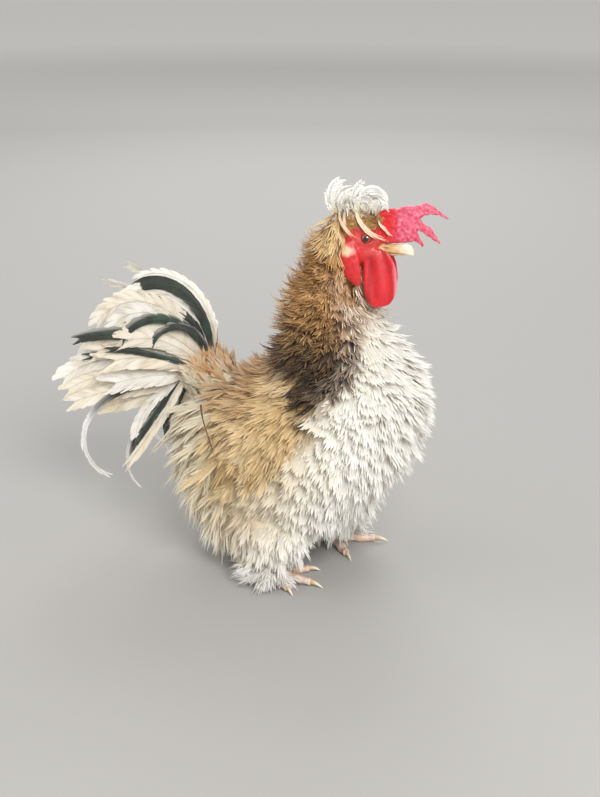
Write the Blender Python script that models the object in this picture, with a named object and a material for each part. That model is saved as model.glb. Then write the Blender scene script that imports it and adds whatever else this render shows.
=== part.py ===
"""Frizzle bantam cock, standing, life size: a still model in named parts.

The cock faces +X, +Y is its left side and +Z is up. Shapes are written in millimetres
about the point on the floor between its feet. The empty "bird" then moves the whole by
TO_BOX_CENTRE, which puts the bottom centre of its bounding box at the origin.
"""

import math
import random

import bmesh
import bpy
import numpy as np
from mathutils import Vector
from mathutils.bvhtree import BVHTree
from mathutils.geometry import tessellate_polygon

MM = 0.001
GAP = 0.3
UP = np.array((0.0, 0.0, 1.0))
TO_BOX_CENTRE = (45.83, 0.0)
SIDES = {"R": -1, "L": 1}

# Level slices of the body's core, which feathers stand out from:
# height, rearmost X, foremost X, half width.
BODY_SLICES = (
    (38, -30, 4, 16),
    (43, -54, 20, 32),
    (50, -69, 33, 43),
    (60, -79, 47, 51),
    (75, -86, 60, 59),
    (95, -89, 76, 64),
    (115, -87, 85, 66),
    (135, -78, 89, 64),
    (150, -60, 90, 59),
    (162, -39, 88, 52),
    (172, -25, 83, 45),
    (182, -19, 77, 39),
    (195, -13, 69, 33),
    (208, -9, 59, 28.5),
    (220, -5, 51, 25.5),
    (235, 4, 47, 23),
    (250, 15, 50, 20.5),
)
BELLY_Z = 38
NECK_Z = 178
HEAD_Z = 250

# The head turns to its left about an upright axis at HEAD_X. Its slices are measured
# forward from that axis, and its front is cut flat where the beak joins.
HEAD_X = 40
HEAD_TURN = math.radians(7)
HEAD_SLICES = (
    (250, -18, 11, 16),
    (256, -17, 20, 15.5),
    (263, -16, 21, 15.2),
    (270, -14, 20, 14.2),
    (277, -12, 18, 12.2),
    (283, -8, 13, 8.8),
    (287, -3, 8, 4.5),
)
BEAK_ROOT = 18.5

EYE_RADIUS = 4.6
LID_SIDES = 11
EYE_AT = (12.0, 10.6, 269.5)


def smooth_through(stations, values, at):
    """A value on a smooth curve through the values at the stations."""
    stations = np.asarray(stations, float)
    values = np.asarray(values, float)
    slopes = np.gradient(values, stations, axis=0)
    k = int(np.clip(np.searchsorted(stations, at) - 1, 0, len(stations) - 2))
    span = stations[k + 1] - stations[k]
    t = (at - stations[k]) / span
    return (
        (2 * t**3 - 3 * t**2 + 1) * values[k]
        + (t**3 - 2 * t**2 + t) * span * slopes[k]
        + (3 * t**2 - 2 * t**3) * values[k + 1]
        + (t**3 - t**2) * span * slopes[k + 1]
    )


def slice_point(slices, angle, z):
    """The point of a sliced form at a height and an angle, 0 at its front."""
    table = np.array(slices, float)
    back, front, half_width = smooth_through(table[:, 0], table[:, 1:], z)
    return np.array(
        (
            (back + front) / 2 + (front - back) / 2 * math.cos(angle),
            half_width * math.sin(angle),
            z,
        )
    )


def unit(vector):
    return vector / np.linalg.norm(vector)


def slice_frame(slices, angle, z):
    """Point, outward normal and downward lie of a sliced form."""
    step = 0.5
    low, high = slices[0][0], slices[-1][0]
    z = min(max(z, low + step), high - step)
    point = slice_point(slices, angle, z)
    along = slice_point(slices, angle + 0.01, z) - slice_point(slices, angle - 0.01, z)
    down = slice_point(slices, angle, z - step) - slice_point(slices, angle, z + step)
    normal = unit(np.cross(down, along))
    return point, normal, unit(down)


def loft(rings, tip=None):
    """Vertices and triangles of a closed skin through rings that run anticlockwise as seen
    from the last ring. A tip point closes the last ring, or else a flat cap does."""
    count = len(rings[0])
    vertices = [tuple(p) for ring in rings for p in ring]
    faces = []
    for k in range(len(rings) - 1):
        for i in range(count):
            a, b = k * count + i, k * count + (i + 1) % count
            faces += [(a, b, b + count), (a, b + count, a + count)]
    last = (len(rings) - 1) * count
    faces += [(0, i + 1, i) for i in range(1, count - 1)]
    if tip is None:
        faces += [(last, last + i, last + i + 1) for i in range(1, count - 1)]
    else:
        vertices.append(tuple(tip))
        faces += [(last + i, last + (i + 1) % count, len(vertices) - 1) for i in range(count)]
    return vertices, faces


def sliced_form(slices, heights, sides, out=0.0, front_limit=None):
    """Closed skin of a sliced form through the given heights, grown outward by out."""
    rings = []
    for z in heights:
        ring = []
        for i in range(sides):
            angle = 2 * math.pi * i / sides
            point = slice_point(slices, angle, z)
            normal = slice_frame(slices, angle, z)[1]
            level = math.hypot(normal[0], normal[1])
            point[:2] += normal[:2] / level * out / max(level, 0.3)
            if front_limit is not None:
                point[0] = min(point[0], front_limit + out)
            ring.append(point)
        rings.append(ring)
    rings[0] = [p - out * UP for p in rings[0]]
    rings[-1] = [p + out * UP for p in rings[-1]]
    return loft(rings)


def turned_head(points):
    """Head measures (forward, left, up) as points of the bird."""
    c, s = math.cos(HEAD_TURN), math.sin(HEAD_TURN)
    return [(HEAD_X + x * c - y * s, x * s + y * c, z) for x, y, z in points]


def head_vector(vector):
    c, s = math.cos(HEAD_TURN), math.sin(HEAD_TURN)
    x, y, z = vector
    return np.array((x * c - y * s, x * s + y * c, z))


def tube(path, radii, sides=8, tip=None, widen=(1.0, 1.0), across=None):
    """Closed tube through the path's points. widen scales it across and along its own up."""
    path = [np.asarray(p, float) for p in path]
    rings = []
    for k, (point, radius) in enumerate(zip(path, radii)):
        ahead = path[min(k + 1, len(path) - 1)] if tip is None or k + 1 < len(path) else tip
        forward = unit(np.asarray(ahead, float) - path[max(k - 1, 0)])
        side = unit(np.cross(UP, forward)) if across is None else unit(np.asarray(across, float))
        side = unit(side - forward * (side @ forward))
        rise = np.cross(forward, side)
        angles = [2 * math.pi * (i + 0.5) / sides for i in range(sides)]
        rings.append(
            [
                point + radius * (widen[0] * math.cos(a) * side + widen[1] * math.sin(a) * rise)
                for a in angles
            ]
        )
    return loft(rings, tip)


def curled_path(root, lie, normal, length, lift, curl, fractions, sink, sway=0.0, late=1.3):
    """Points and blade normals of a shaft that leaves its root at the angle lift from the
    lie, and turns by curl more, and sideways by sway, on the way to its tip. The higher
    late is, the nearer the tip it turns."""
    steps = 30
    side = np.cross(normal, lie)
    point = np.asarray(root, float)
    start = math.cos(lift) * lie + math.sin(lift) * normal
    trail, blades = [point], [math.cos(lift) * normal - math.sin(lift) * lie]
    for k in range(steps):
        t = (k + 0.5) / steps
        angle = lift + curl * t**late
        yaw = sway * t
        ahead = math.cos(angle) * lie + math.sin(angle) * normal
        ahead = math.cos(yaw) * ahead + math.sin(yaw) * side
        point = point + ahead * length / steps
        trail.append(point)
        blades.append(math.cos(angle) * normal - math.sin(angle) * lie)
    picked = [min(steps, round(f * steps)) for f in fractions]
    points = [trail[i] for i in picked]
    points[0] = points[0] - sink * start
    return points, [blades[i] for i in picked]


def blade(points, blades, widths, thickness, cup=0.0):
    """Closed flat vane along a shaft. Each but the last point carries a section, which has
    a ridge in its middle where cup is given, and the last point is the tip."""
    rings = []
    for k in range(len(points) - 1):
        forward = unit(points[k + 1] - points[max(k - 1, 0)])
        normal = unit(blades[k] - forward * (blades[k] @ forward))
        side = np.cross(forward, normal)
        half, thin = widths[k] / 2, thickness / 2
        edges = [(-half, -thin), (half, -thin), (half, thin), (-half, thin)]
        if cup:
            rise = cup * half
            edges = [(-half, -thin), (0, rise - thin), (half, -thin)]
            edges += [(half, thin), (0, rise + thin), (-half, thin)]
        rings.append([points[k] + s * side + n * normal for s, n in edges])
    vertices, faces = [tuple(p) for ring in rings for p in ring], []
    count, top = len(rings[0]), len(rings[0]) // 2
    for k in range(len(rings) - 1):
        for i in range(count):
            a, b = k * count + i, k * count + (i + 1) % count
            split = i < top
            if split:
                faces += [(a, b, b + count), (a, b + count, a + count)]
            else:
                faces += [(a, b, a + count), (b, b + count, a + count)]
    faces += [(0, i + 1, i) for i in range(1, count - 1)]
    last = (len(rings) - 1) * count
    vertices.append(tuple(points[-1]))
    faces += [(last + i, last + (i + 1) % count, len(vertices) - 1) for i in range(count)]
    return vertices, faces


FEATHER_STEPS = (0.0, 0.4, 0.78, 1.0)
FEATHER_OUTLINE = (0.55, 1.0, 0.8)
LOCK_STEPS = (0.0, 0.3, 0.58, 0.82, 1.0)
LOCK_OUTLINE = (0.6, 1.0, 0.9, 0.6)
PLUME_STEPS = (0.0, 0.22, 0.44, 0.66, 0.86, 1.0)
PLUME_OUTLINE = (0.35, 0.85, 1.0, 0.95, 0.6)
VANE_STEPS = (0.0, 0.3, 0.65, 0.88, 1.0)
VANE_OUTLINE = (0.4, 1.0, 0.97, 0.6)


def feather(root, lie, normal, length, width, lift, curl, sink=2.5, thickness=0.8, sway=0.0):
    """Short body feather of three flat runs."""
    points, blades = curled_path(
        root, lie, normal, length, math.radians(lift), math.radians(curl), FEATHER_STEPS, sink, sway
    )
    return blade(points, blades, [width * w for w in FEATHER_OUTLINE], thickness)


def lock(root, lie, normal, length, width, lift, curl, sink=2.5, thickness=0.8, sway=0.0, late=1.8):
    """Narrow feather of four runs, which curls most near its tip."""
    points, blades = curled_path(
        root, lie, normal, length, math.radians(lift), math.radians(curl), LOCK_STEPS, sink, sway, late
    )
    return blade(points, blades, [width * w for w in LOCK_OUTLINE], thickness)


def mesh_object(name, vertices, faces, material):
    mesh = bpy.data.meshes.new(name)
    mesh.from_pydata([tuple(float(c) * MM for c in v) for v in vertices], [], faces)
    mesh.update()
    body = bmesh.new()
    body.from_mesh(mesh)
    bmesh.ops.recalc_face_normals(body, faces=body.faces)
    body.to_mesh(mesh)
    body.free()
    obj = bpy.data.objects.new(name, mesh)
    if material is not None:
        mesh.materials.append(material)
    return obj


def keep_largest_surface(obj):
    """Leaves only the mesh's largest closed surface."""
    body = bmesh.new()
    body.from_mesh(obj.data)
    left = set(body.verts)
    islands = []
    while left:
        island = [left.pop()]
        for vertex in island:
            for edge in vertex.link_edges:
                other = edge.other_vert(vertex)
                if other in left:
                    left.remove(other)
                    island.append(other)
        islands.append(island)
    islands.sort(key=len)
    loose = [v for island in islands[:-1] for v in island]
    bmesh.ops.delete(body, geom=loose, context="VERTS")
    bmesh.ops.triangulate(body, faces=body.faces)
    body.to_mesh(obj.data)
    body.free()


def apply_boolean(obj, operation, others):
    """One Boolean of the object with a collection of closed meshes, applied to its mesh."""
    holder = bpy.data.collections.new("joining")
    bpy.context.scene.collection.children.link(holder)
    for other in others:
        holder.objects.link(other)
    modifier = obj.modifiers.new("join", "BOOLEAN")
    modifier.operation = operation
    modifier.operand_type = "COLLECTION"
    modifier.collection = holder
    modifier.solver = "MANIFOLD"
    bpy.context.view_layer.update()
    graph = bpy.context.evaluated_depsgraph_get()
    joined = bpy.data.meshes.new_from_object(obj.evaluated_get(graph))
    obj.modifiers.remove(modifier)
    obj.data = joined
    for other in list(holder.objects):
        bpy.data.objects.remove(other)
    bpy.data.collections.remove(holder)
    keep_largest_surface(obj)


def tree_of(vertices, faces):
    return BVHTree.FromPolygons([tuple(v) for v in vertices], [tuple(f) for f in faces])


def object_tree(obj):
    vertices = [tuple(c / MM for c in v.co) for v in obj.data.vertices]
    return tree_of(vertices, [tuple(p.vertices) for p in obj.data.polygons])


class Model:
    """The cock's nodes as they are made, and the trees that later feathers keep clear of."""

    def __init__(self):
        self.root = bpy.data.objects.new("bird", None)
        self.parts = bpy.data.collections.new("frizzle_bantam_cock")
        bpy.context.scene.collection.children.link(self.parts)
        self.parts.objects.link(self.root)
        self.trees = {}
        self.materials = {}

    def material(self, name, colour, roughness):
        made = bpy.data.materials.new(name)
        made.use_nodes = True
        shader = made.node_tree.nodes["Principled BSDF"]
        shader.inputs["Base Color"].default_value = (*colour, 1.0)
        shader.inputs["Roughness"].default_value = roughness
        self.materials[name] = made

    def reserve(self, name, shape):
        """Keeps later feathers off a core that is made after them."""
        self.trees[name] = tree_of(*shape)

    def clear(self, own, shape):
        """Whether a shape crosses no node but those it is fused to or cut back from."""
        tree = tree_of(*shape)
        return not any(tree.overlap(other) for name, other in self.trees.items() if name not in own)

    def add(self, name, core, material, pieces=(), cuts=()):
        """Makes a node from its core, the pieces fused to it and the forms cut from it."""
        obj = mesh_object(name, *core, self.materials[material])
        bpy.context.scene.collection.objects.link(obj)
        if pieces:
            made = [mesh_object(f"{name}_piece", *p, self.materials[material]) for p in pieces]
            apply_boolean(obj, "UNION", made)
        if cuts:
            made = [mesh_object(f"{name}_cut", *c, self.materials[material]) for c in cuts]
            apply_boolean(obj, "DIFFERENCE", made)
        bpy.context.scene.collection.objects.unlink(obj)
        self.parts.objects.link(obj)
        obj.parent = self.root
        self.trees[name] = object_tree(obj)
        return obj


def clear_feathers(model, own, maker, spots):
    """Feathers at the spots, each lowered or shortened until it is clear of other nodes."""
    made = []
    for spot in spots:
        for scale, drop in ((1.0, 0.0), (0.85, 0.0), (0.85, 12.0), (0.7, -12.0), (0.6, 20.0)):
            trial = dict(spot)
            trial["length"] *= scale
            trial["lift"] -= drop
            padded = maker(**{**trial, "thickness": trial.get("thickness", 0.8) + 2 * GAP + 0.4,
                              "width": trial["width"] + 2 * GAP + 0.2})
            if model.clear((own,), padded):
                made.append(maker(**trial))
                break
    return made


def rows(slices, heights, spacing, wanted, style, rng):
    """Feather spots in staggered rows round a sliced form, where wanted(angle, z) holds."""
    spots = []
    for row, z in enumerate(heights):
        ring = [slice_point(slices, a, z) for a in np.linspace(0, 2 * math.pi, 49)]
        girth = sum(np.linalg.norm(b - a) for a, b in zip(ring, ring[1:]))
        count = max(6, round(girth / spacing))
        lengths = np.cumsum([0] + [np.linalg.norm(b - a) for a, b in zip(ring, ring[1:])])
        for i in range(count):
            share = ((i + 0.5 * (row % 2)) / count + rng.uniform(-0.1, 0.1) / count) % 1.0
            angle = float(np.interp(share * girth, lengths, np.linspace(0, 2 * math.pi, 49)))
            angle = (angle + math.pi) % (2 * math.pi) - math.pi
            if not wanted(angle, z):
                continue
            root, normal, down = slice_frame(slices, angle, z)
            spots.append({"root": root, "lie": down, "normal": normal, **style(angle, z, rng)})
    return spots


# Head, comb, wattles, lobes, beak and crest.


def head_core(out=0.0):
    heights = (HEAD_Z + GAP, 257, 265, 273, 280, 287)
    vertices, faces = sliced_form(HEAD_SLICES, heights, 18, out, BEAK_ROOT)
    return turned_head(vertices), faces


def neck_core(out=0.0):
    heights = (NECK_Z + GAP, 190, 202, 214, 226, 238, HEAD_Z)
    return sliced_form(BODY_SLICES, heights, 24, out)


def torso_core(out=0.0):
    heights = (BELLY_Z, 43, 50, 60, 75, 93, 111, 128, 143, 155, 167, NECK_Z)
    return sliced_form(BODY_SLICES, heights, 28, out)


def ball(centre, radius, scale=(1, 1, 1), rings=6, sides=10):
    levels = [math.pi * (k + 0.5) / rings - math.pi / 2 for k in range(rings)]
    made = [
        [
            (
                centre[0] + radius * scale[0] * math.cos(b) * math.cos(a),
                centre[1] + radius * scale[1] * math.cos(b) * math.sin(a),
                centre[2] + radius * scale[2] * math.sin(b),
            )
            for a in np.linspace(0, 2 * math.pi, sides, endpoint=False)
        ]
        for b in levels
    ]
    return loft(made)


def in_head(shape):
    return turned_head(shape[0]), shape[1]


def closed_loop(rings):
    """Closed skin of a tube whose last ring joins its first."""
    count, sides = len(rings), len(rings[0])
    faces = []
    for k in range(count):
        for i in range(sides):
            a, b = k * sides + i, k * sides + (i + 1) % sides
            c, d = (k + 1) % count * sides + (i + 1) % sides, (k + 1) % count * sides + i
            faces += [(a, b, c), (a, c, d)]
    return [tuple(p) for ring in rings for p in ring], faces


def lid_ring(side):
    """Fleshy lid round the eye."""
    x, y, z = EYE_AT
    centre = np.array((x, side * (y + 2.0), z))
    rings = []
    for k in range(LID_SIDES):
        a = 2 * math.pi * k / LID_SIDES
        out = np.array((math.cos(a), 0.0, 0.82 * math.sin(a)))
        middle = centre + out * 5.0
        rings.append(
            [
                middle + 1.3 * (math.cos(b) * out + math.sin(b) * np.array((0, 1, 0)))
                for b in np.linspace(0, 2 * math.pi, 4, endpoint=False)
            ]
        )
    return closed_loop(rings)


def make_head(model):
    """Bare flesh of the face with its lids; the eyes sit in sockets cut in it."""
    lids = [in_head(lid_ring(s)) for s in SIDES.values()]
    sockets = [ball((EYE_AT[0], s * EYE_AT[1], EYE_AT[2]), EYE_RADIUS + GAP) for s in SIDES.values()]
    model.add("head", head_core(), "face_skin", lids, [in_head(e) for e in sockets])
    for name, side in SIDES.items():
        centre = (EYE_AT[0], side * EYE_AT[1], EYE_AT[2])
        model.add(f"eye_{name}", in_head(ball(centre, EYE_RADIUS)), "eye")


def make_beak(model):
    """Both halves of the beak, which meet along the mouth line."""
    root = BEAK_ROOT + GAP
    upper = []
    for x, top, bottom, half in ((root, 264.6, 258.8, 6.2), (26, 263.8, 258.5, 5.2), (33, 264.4, 257.8, 4.2),
                                 (39, 264.8, 257.6, 3.1), (42.4, 262.6, 257.6, 1.9)):
        middle, shoulder = bottom + 0.45 * (top - bottom), bottom + 0.86 * (top - bottom)
        upper.append([(x, -half, bottom), (x, half, bottom), (x, half * 0.95, middle),
                      (x, half * 0.5, shoulder), (x, 0, top), (x, -half * 0.5, shoulder),
                      (x, -half * 0.95, middle)])
    nostrils = [in_head(ball((24.2, s * 5.4, 261.4), 1.2, (1.7, 1, 0.8), 4, 6)) for s in SIDES.values()]
    model.add("beak_upper", in_head(loft(upper, (44.4, 0, 256.0))), "beak", (), nostrils)
    lower = []
    for x, top, bottom, half in (
        (root, 258.4, 255.4, 5.7), (26, 258.1, 255.5, 4.7), (33, 257.4, 255.4, 3.4)
    ):
        lower.append([(x, -half, top), (x, -half * 0.9, bottom + 1.2), (x, -half * 0.4, bottom),
                      (x, half * 0.4, bottom), (x, half * 0.9, bottom + 1.2), (x, half, top)])
    model.add("beak_lower", in_head(loft(lower, (38.6, 0, 257.1))), "beak")


COMB_OUTLINE = (
    (16, 275), (15.5, 282), (19, 286.5), (25, 289), (31, 289.5), (36, 291.5), (43, 291.8), (50, 294),
    (57, 290.5), (66, 283.4), (58.5, 285.8), (49.8, 285.2), (48, 281.5), (55, 277), (62.8, 268),
    (54.5, 271.2), (46.5, 275), (46.5, 272), (51.4, 264), (45, 267.2), (40.5, 266.4), (35, 266.3),
    (29, 265.8), (23, 265.6),
)


def comb_bend(x, z):
    """How far the comb leans off the head's middle: its points flop to either side."""
    reach = max(x - 26, 0) / 40
    return reach * reach * (5 + (z - 284) * 0.55)


def make_comb(model):
    """Single comb flopped forward over the beak, with three long points."""
    outline = [np.array(p, float) for p in COMB_OUTLINE]
    count = len(outline)
    inner = []
    for k, point in enumerate(outline):
        before, after = outline[k - 1], outline[(k + 1) % count]
        ahead, back = unit(after - point), unit(before - point)
        inward = np.array((ahead[1] - back[1], back[0] - ahead[0]))
        bisector = unit(unit(inward) + 1e-9)
        depth = 1.5 if ahead @ back < 0.2 else 3.4
        inner.append(point + depth * bisector)
    half = [3.1 - 0.033 * max(p[0] - 20, 0) for p in outline]
    rings = []
    for offset, ring, share in ((-1, inner, 1.0), (-1, outline, 0.35), (1, outline, 0.35), (1, inner, 1.0)):
        rings.append(
            [(p[0], offset * share * h + comb_bend(*p), p[1]) for p, h in zip(ring, half)]
        )
    vertices = [v for ring in rings for v in ring]
    faces = []
    for k in range(3):
        for i in range(count):
            a, b = k * count + i, k * count + (i + 1) % count
            faces += [(a, b, b + count), (a, b + count, a + count)]
    fill = tessellate_polygon([[Vector((p[0], p[1], 0)) for p in inner]])
    faces += [tuple(t) for t in fill]
    faces += [tuple(3 * count + i for i in reversed(t)) for t in fill]
    model.add("comb", in_head((vertices, faces)), "comb_skin", (), [head_core(GAP)])


# How far each wattle hangs back of its drawn place.
WATTLE_BACK = {"R": 0, "L": 5.5}


def make_wattles(model):
    for name, side in SIDES.items():
        rings, back = [], WATTLE_BACK[name]
        for z, middle, half, thick, out in (
            (219.8, 22, 3.2, 2.4, 11.4), (222, 22, 7, 3.4, 11.4), (227, 22.4, 10.4, 4.6, 11.2),
            (234, 22.6, 12.2, 5, 10.6), (242, 22.2, 12.4, 4.8, 9.8), (250, 21.4, 11.8, 4.4, 9.0),
            (256, 20.5, 9.5, 3.8, 8.6)
        ):
            ring = []
            for a in np.linspace(0, 2 * math.pi, 12, endpoint=False):
                wave = 1.3 * math.sin(2 * a + 0.6)
                ring.append((middle - back + half * math.cos(a), side * (out + wave) + thick / 2 * math.sin(a), z))
            rings.append(ring)
        shape = loft(rings, (20 - back, side * 8.6, 259.5))
        cuts = [head_core(GAP), neck_core(GAP)]
        model.add(f"wattle_{name}", in_head(shape), "wattle_skin", (), cuts)


LOBE_PATH = ((-2.4, 14.8, 266), (0.2, 16.2, 258.5), (2.0, 17.0, 250.5), (4.6, 17.2, 243))


def make_lobes(model):
    for name, side in SIDES.items():
        path = [(x, side * y, z) for x, y, z in LOBE_PATH]
        shape = tube(path, (5.8, 7.4, 7.4, 5.6), 8, (8.2, side * 17, 235.4), (1.0, 0.5), (1, 0, 0.3))
        model.add(f"earlobe_{name}", in_head(shape), "wattle_skin", (),
                  [head_core(GAP), neck_core(GAP)])


NAPE_SLICES = (
    (250, -27.5, 3, 19.5),
    (256, -29, 1, 18.5),
    (265, -25, -2, 17),
    (274, -20.5, -4, 14.5),
    (281, -15, -5, 11),
    (286, -9, -5, 5),
)
NAPE_FRONT = ((-9, 236), (-9, 262), (1, 277), (1, 300), (70, 300), (70, 236))


def nape_core(out=0.0):
    vertices, faces = sliced_form(NAPE_SLICES, (HEAD_Z + GAP, 256, 263, 270, 277, 283), 20, out)
    low = HEAD_Z + GAP
    vertices = [(x, y, max(z, low)) for x, y, z in vertices]
    return turned_head(vertices), faces


def make_nape(model):
    """Feathered back of the head, which wraps the flesh of the face from behind."""
    rng = random.Random(3)

    def style(angle, z, rng):
        return {"length": 20 + rng.uniform(-2, 2), "width": 11, "lift": 32, "curl": 85}

    model.reserve("crest", crown_cap(GAP))
    spots = rows(NAPE_SLICES, (257, 267, 277), 14.5, lambda a, z: abs(a) > 1.7, style, rng)
    for spot in spots:
        spot["root"] = np.array(turned_head([spot["root"]])[0])
        spot["lie"], spot["normal"] = head_vector(spot["lie"]), head_vector(spot["normal"])
    sides = [[(x, y, z) for x, z in NAPE_FRONT] for y in (40, -40)]
    pieces = clear_feathers(model, "nape", feather, spots)
    model.add("nape", nape_core(), "hackle_feather", pieces, [head_core(GAP), in_head(loft(sides))])


def crown_cap(out=0.0):
    return in_head(ball((0, 0, 286.2), 9 + out, (1.3, 1.0, 0.5), 5, 12))


# Crest tassels: place of the root forward and aside, heading they curl towards, lean at the
# root, curl, how late they curl, and length.
TASSELS = (
    (-9, -3, 0, -75, 155, 1.0, 32), (-10, 1, 10, -85, 115, 1.0, 23), (-1, -2, 5, -12, 60, 1.2, 22),
    (6.5, -2, 0, -10, 230, 1.6, 40), (6, 4, 25, -10, 180, 1.5, 32), (2, -6, -55, 0, 140, 1.3, 25),
    (0, 7, 70, 5, 130, 1.2, 26), (-8, 6, 140, 10, 90, 1.2, 21), (-5, -6, 200, 15, 70, 1.2, 17),
)

# Loose crest feathers down the cheeks: side, forward place at root and tip, height of tip.
CHEEK_STRANDS = (
    (-1, 2, 0, 265),
    (-1, 7, 6.5, 268),
    (-1, 12, 19.5, 268),
    (1, 3, 2, 266),
    (1, 11, 19, 269),
)


def cheek_strand(side, x_root, x_tip, z_tip):
    points, blades = [np.array((x_root, side * 7.0, 287.4))], [np.array((0.0, side * 0.6, 0.8))]
    for share in (0.28, 0.52, 0.78, 1.0):
        z = 285 + (z_tip - 285) * share
        back, front, _ = smooth_through(np.array(HEAD_SLICES)[:, 0], np.array(HEAD_SLICES)[:, 1:], z)
        x = x_root + (x_tip - x_root) * share
        angle = side * math.acos(np.clip((x - (back + front) / 2) / ((front - back) / 2), -0.98, 0.98))
        point, normal, _ = slice_frame(HEAD_SLICES, angle, z)
        points.append(point + (2.4 + 2.2 * share**3) * normal)
        blades.append(normal)
    return blade(points, blades, [2.6, 3.2, 3.0, 2.2], 0.9)


def make_crest(model):
    """Curled tassel feathers that rise from the crown and fall forward, back and aside, with a
    few loose ones down each cheek."""
    pieces = []
    for x, y, heading, lean, curl, late, length in TASSELS:
        aim = math.radians(heading)
        out = np.array((math.cos(aim), math.sin(aim), 0.0))
        root = np.array((x, y, 287.4))
        pieces.append(in_head(lock(root, UP, out, length, 8.5, lean, curl, late=late)))
    pieces = [p for p in pieces if model.clear(("crest", "head", "nape"), p)]
    strands = [in_head(cheek_strand(*spec)) for spec in CHEEK_STRANDS]
    strands = [p for p in strands if model.clear(("crest", "nape"), p)]
    model.add("crest", crown_cap(), "white_feather", pieces + strands, [head_core(GAP), nape_core(GAP)])


# Neck, wings, tail, legs and torso.


def make_neck(model):
    """Hackle: short curled feathers under the head, and a cape that points down each side."""
    rng = random.Random(5)

    def style(angle, z, rng):
        if z < 205:
            point = math.exp(-(((abs(angle) - 1.4) / 0.45) ** 2)) if z < 190 else 0.0
            lift = 18 if abs(angle) < 0.9 and z < 190 else 9
            return {"length": 28 + 13 * point + rng.uniform(-2, 2), "width": 16, "lift": lift, "curl": 30}
        return {"length": 20 + rng.uniform(-2, 2), "width": 15, "lift": 20, "curl": 80}

    spots = rows(BODY_SLICES, (185, 200, 214, 228, 241), 19.4, lambda a, z: True, style, rng)
    model.add("neck", neck_core(), "hackle_feather", clear_feathers(model, "neck", feather, spots))


WING_AT = (13, 131)
WING_HALF = (37, 25)
WING_DROP = math.radians(27)


def wing_frame(u, v, side):
    """A place on the folded wing: u runs back along it, v up across it."""
    x = WING_AT[0] - u * math.cos(WING_DROP) - v * math.sin(WING_DROP) * 0.6
    z = WING_AT[1] - u * math.sin(WING_DROP) + v * math.cos(WING_DROP)
    table = np.array(BODY_SLICES, float)
    back, front, half = smooth_through(table[:, 0], table[:, 1:], z)
    c = np.clip((x - (back + front) / 2) / ((front - back) / 2), -0.999, 0.999)
    angle = side * math.acos(c)
    return slice_frame(BODY_SLICES, angle, z)


def make_wing(model, name, side):
    """Folded wing: a rounded pad on the flank with coverts, secondaries and primaries."""
    rng = random.Random(21)
    rings = []
    for share, thick in ((0.98, -3), (1.0, 1.0), (0.8, 4.2), (0.4, 5.8)):
        ring = []
        for a in np.linspace(0, 2 * math.pi, 16, endpoint=False):
            u, v = WING_HALF[0] * share * math.cos(a), WING_HALF[1] * share * math.sin(a)
            point, normal, _ = wing_frame(u, v, side)
            ring.append(point + thick * normal)
        rings.append(ring[::side] if side > 0 else ring)
    centre, normal, _ = wing_frame(0, 0, side)
    core = loft(rings, centre + 6.2 * normal)
    spots = []
    for tier, (count, start, reach, width, lift, curl) in enumerate(
        ((4, -18, 26, 17, 10, 30), (4, 0, 32, 16, 7, 26), (4, 17, 34, 13, 5, 36))
    ):
        for k in range(count):
            v = WING_HALF[1] * (0.72 - 1.5 * (k + 0.5) / count) * (1.0 - 0.1 * tier)
            root, normal, _ = wing_frame(start - 4 * abs(v) / 20, v, side)
            ahead, _, _ = wing_frame(start + 6, v - 1.6, side)
            lie = unit(ahead - root)
            normal = unit(normal - lie * (normal @ lie))
            spots.append({"root": root + (4.9 - 1.5 * tier) * normal, "lie": lie, "normal": normal,
                          "length": reach + rng.uniform(-3, 3), "width": width, "lift": lift,
                          "curl": curl, "sink": 5})
    pieces = clear_feathers(model, f"wing_{name}", feather, spots)
    model.add(f"wing_{name}", core, "gold_feather", pieces, [torso_core(GAP)])


RUMP_FROM = np.array((-45.0, 0.0, 112.0))
RUMP_END = np.array((-82.0, 0.0, 145.0))
TAIL_AXIS = unit(RUMP_END - RUMP_FROM)
TAIL_END = RUMP_END + 20 * TAIL_AXIS
TAIL_DOWN = np.cross(TAIL_AXIS, (0.0, 1.0, 0.0))


def rump_tube(start, end, radii):
    path = [start + (end - start) * t for t in np.linspace(0, 1, len(radii))]
    return tube(path, radii, 12, None, (1.05, 0.95), (0, 1, 0))


# Tail feathers of a side: leaving angle above the level, splay, length, width, droop, how
# late it droops and depth of the root, in degrees and millimetres.
PLUMES = (
    (95, 6, 115, 11, 142, 1.25, -16), (91, 9, 124, 12, 162, 1.15, -12), (87, 13, 122, 19, 148, 1.1, -6),
    (74, 13, 96, 18, 136, 1.4, -5), (57, 7, 132, 12, 115, 0.8, -12), (60, 19, 82, 22, 108, 1.15, -8),
    (34, 17, 86, 25, 60, 1.2, -3), (14, 14, 113, 22, 60, 2.0, 9), (2, 15, 103, 21, 44, 2.4, 13),
    (-9, 17, 98, 20, 18, 2.2, 14), (-5, 20, 145, 8, 160, 2.1, 14), (-26, 20, 70, 14, 59, 1.4, 10),
    (-50, 23, 78, 10, 16, 2.0, 5), (-64, 25, 94, 12, -10, 1.0, 1), (-43, 17, 124, 6, 99, 2.8, 8),
)
# Odd feathers of the far side whose curled tips show over the tail.
STRAYS = ((70, 5, 104, 13, 62, 0.8, -14), (50, 8, 112, 13, 46, 0.8, -14))


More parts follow.
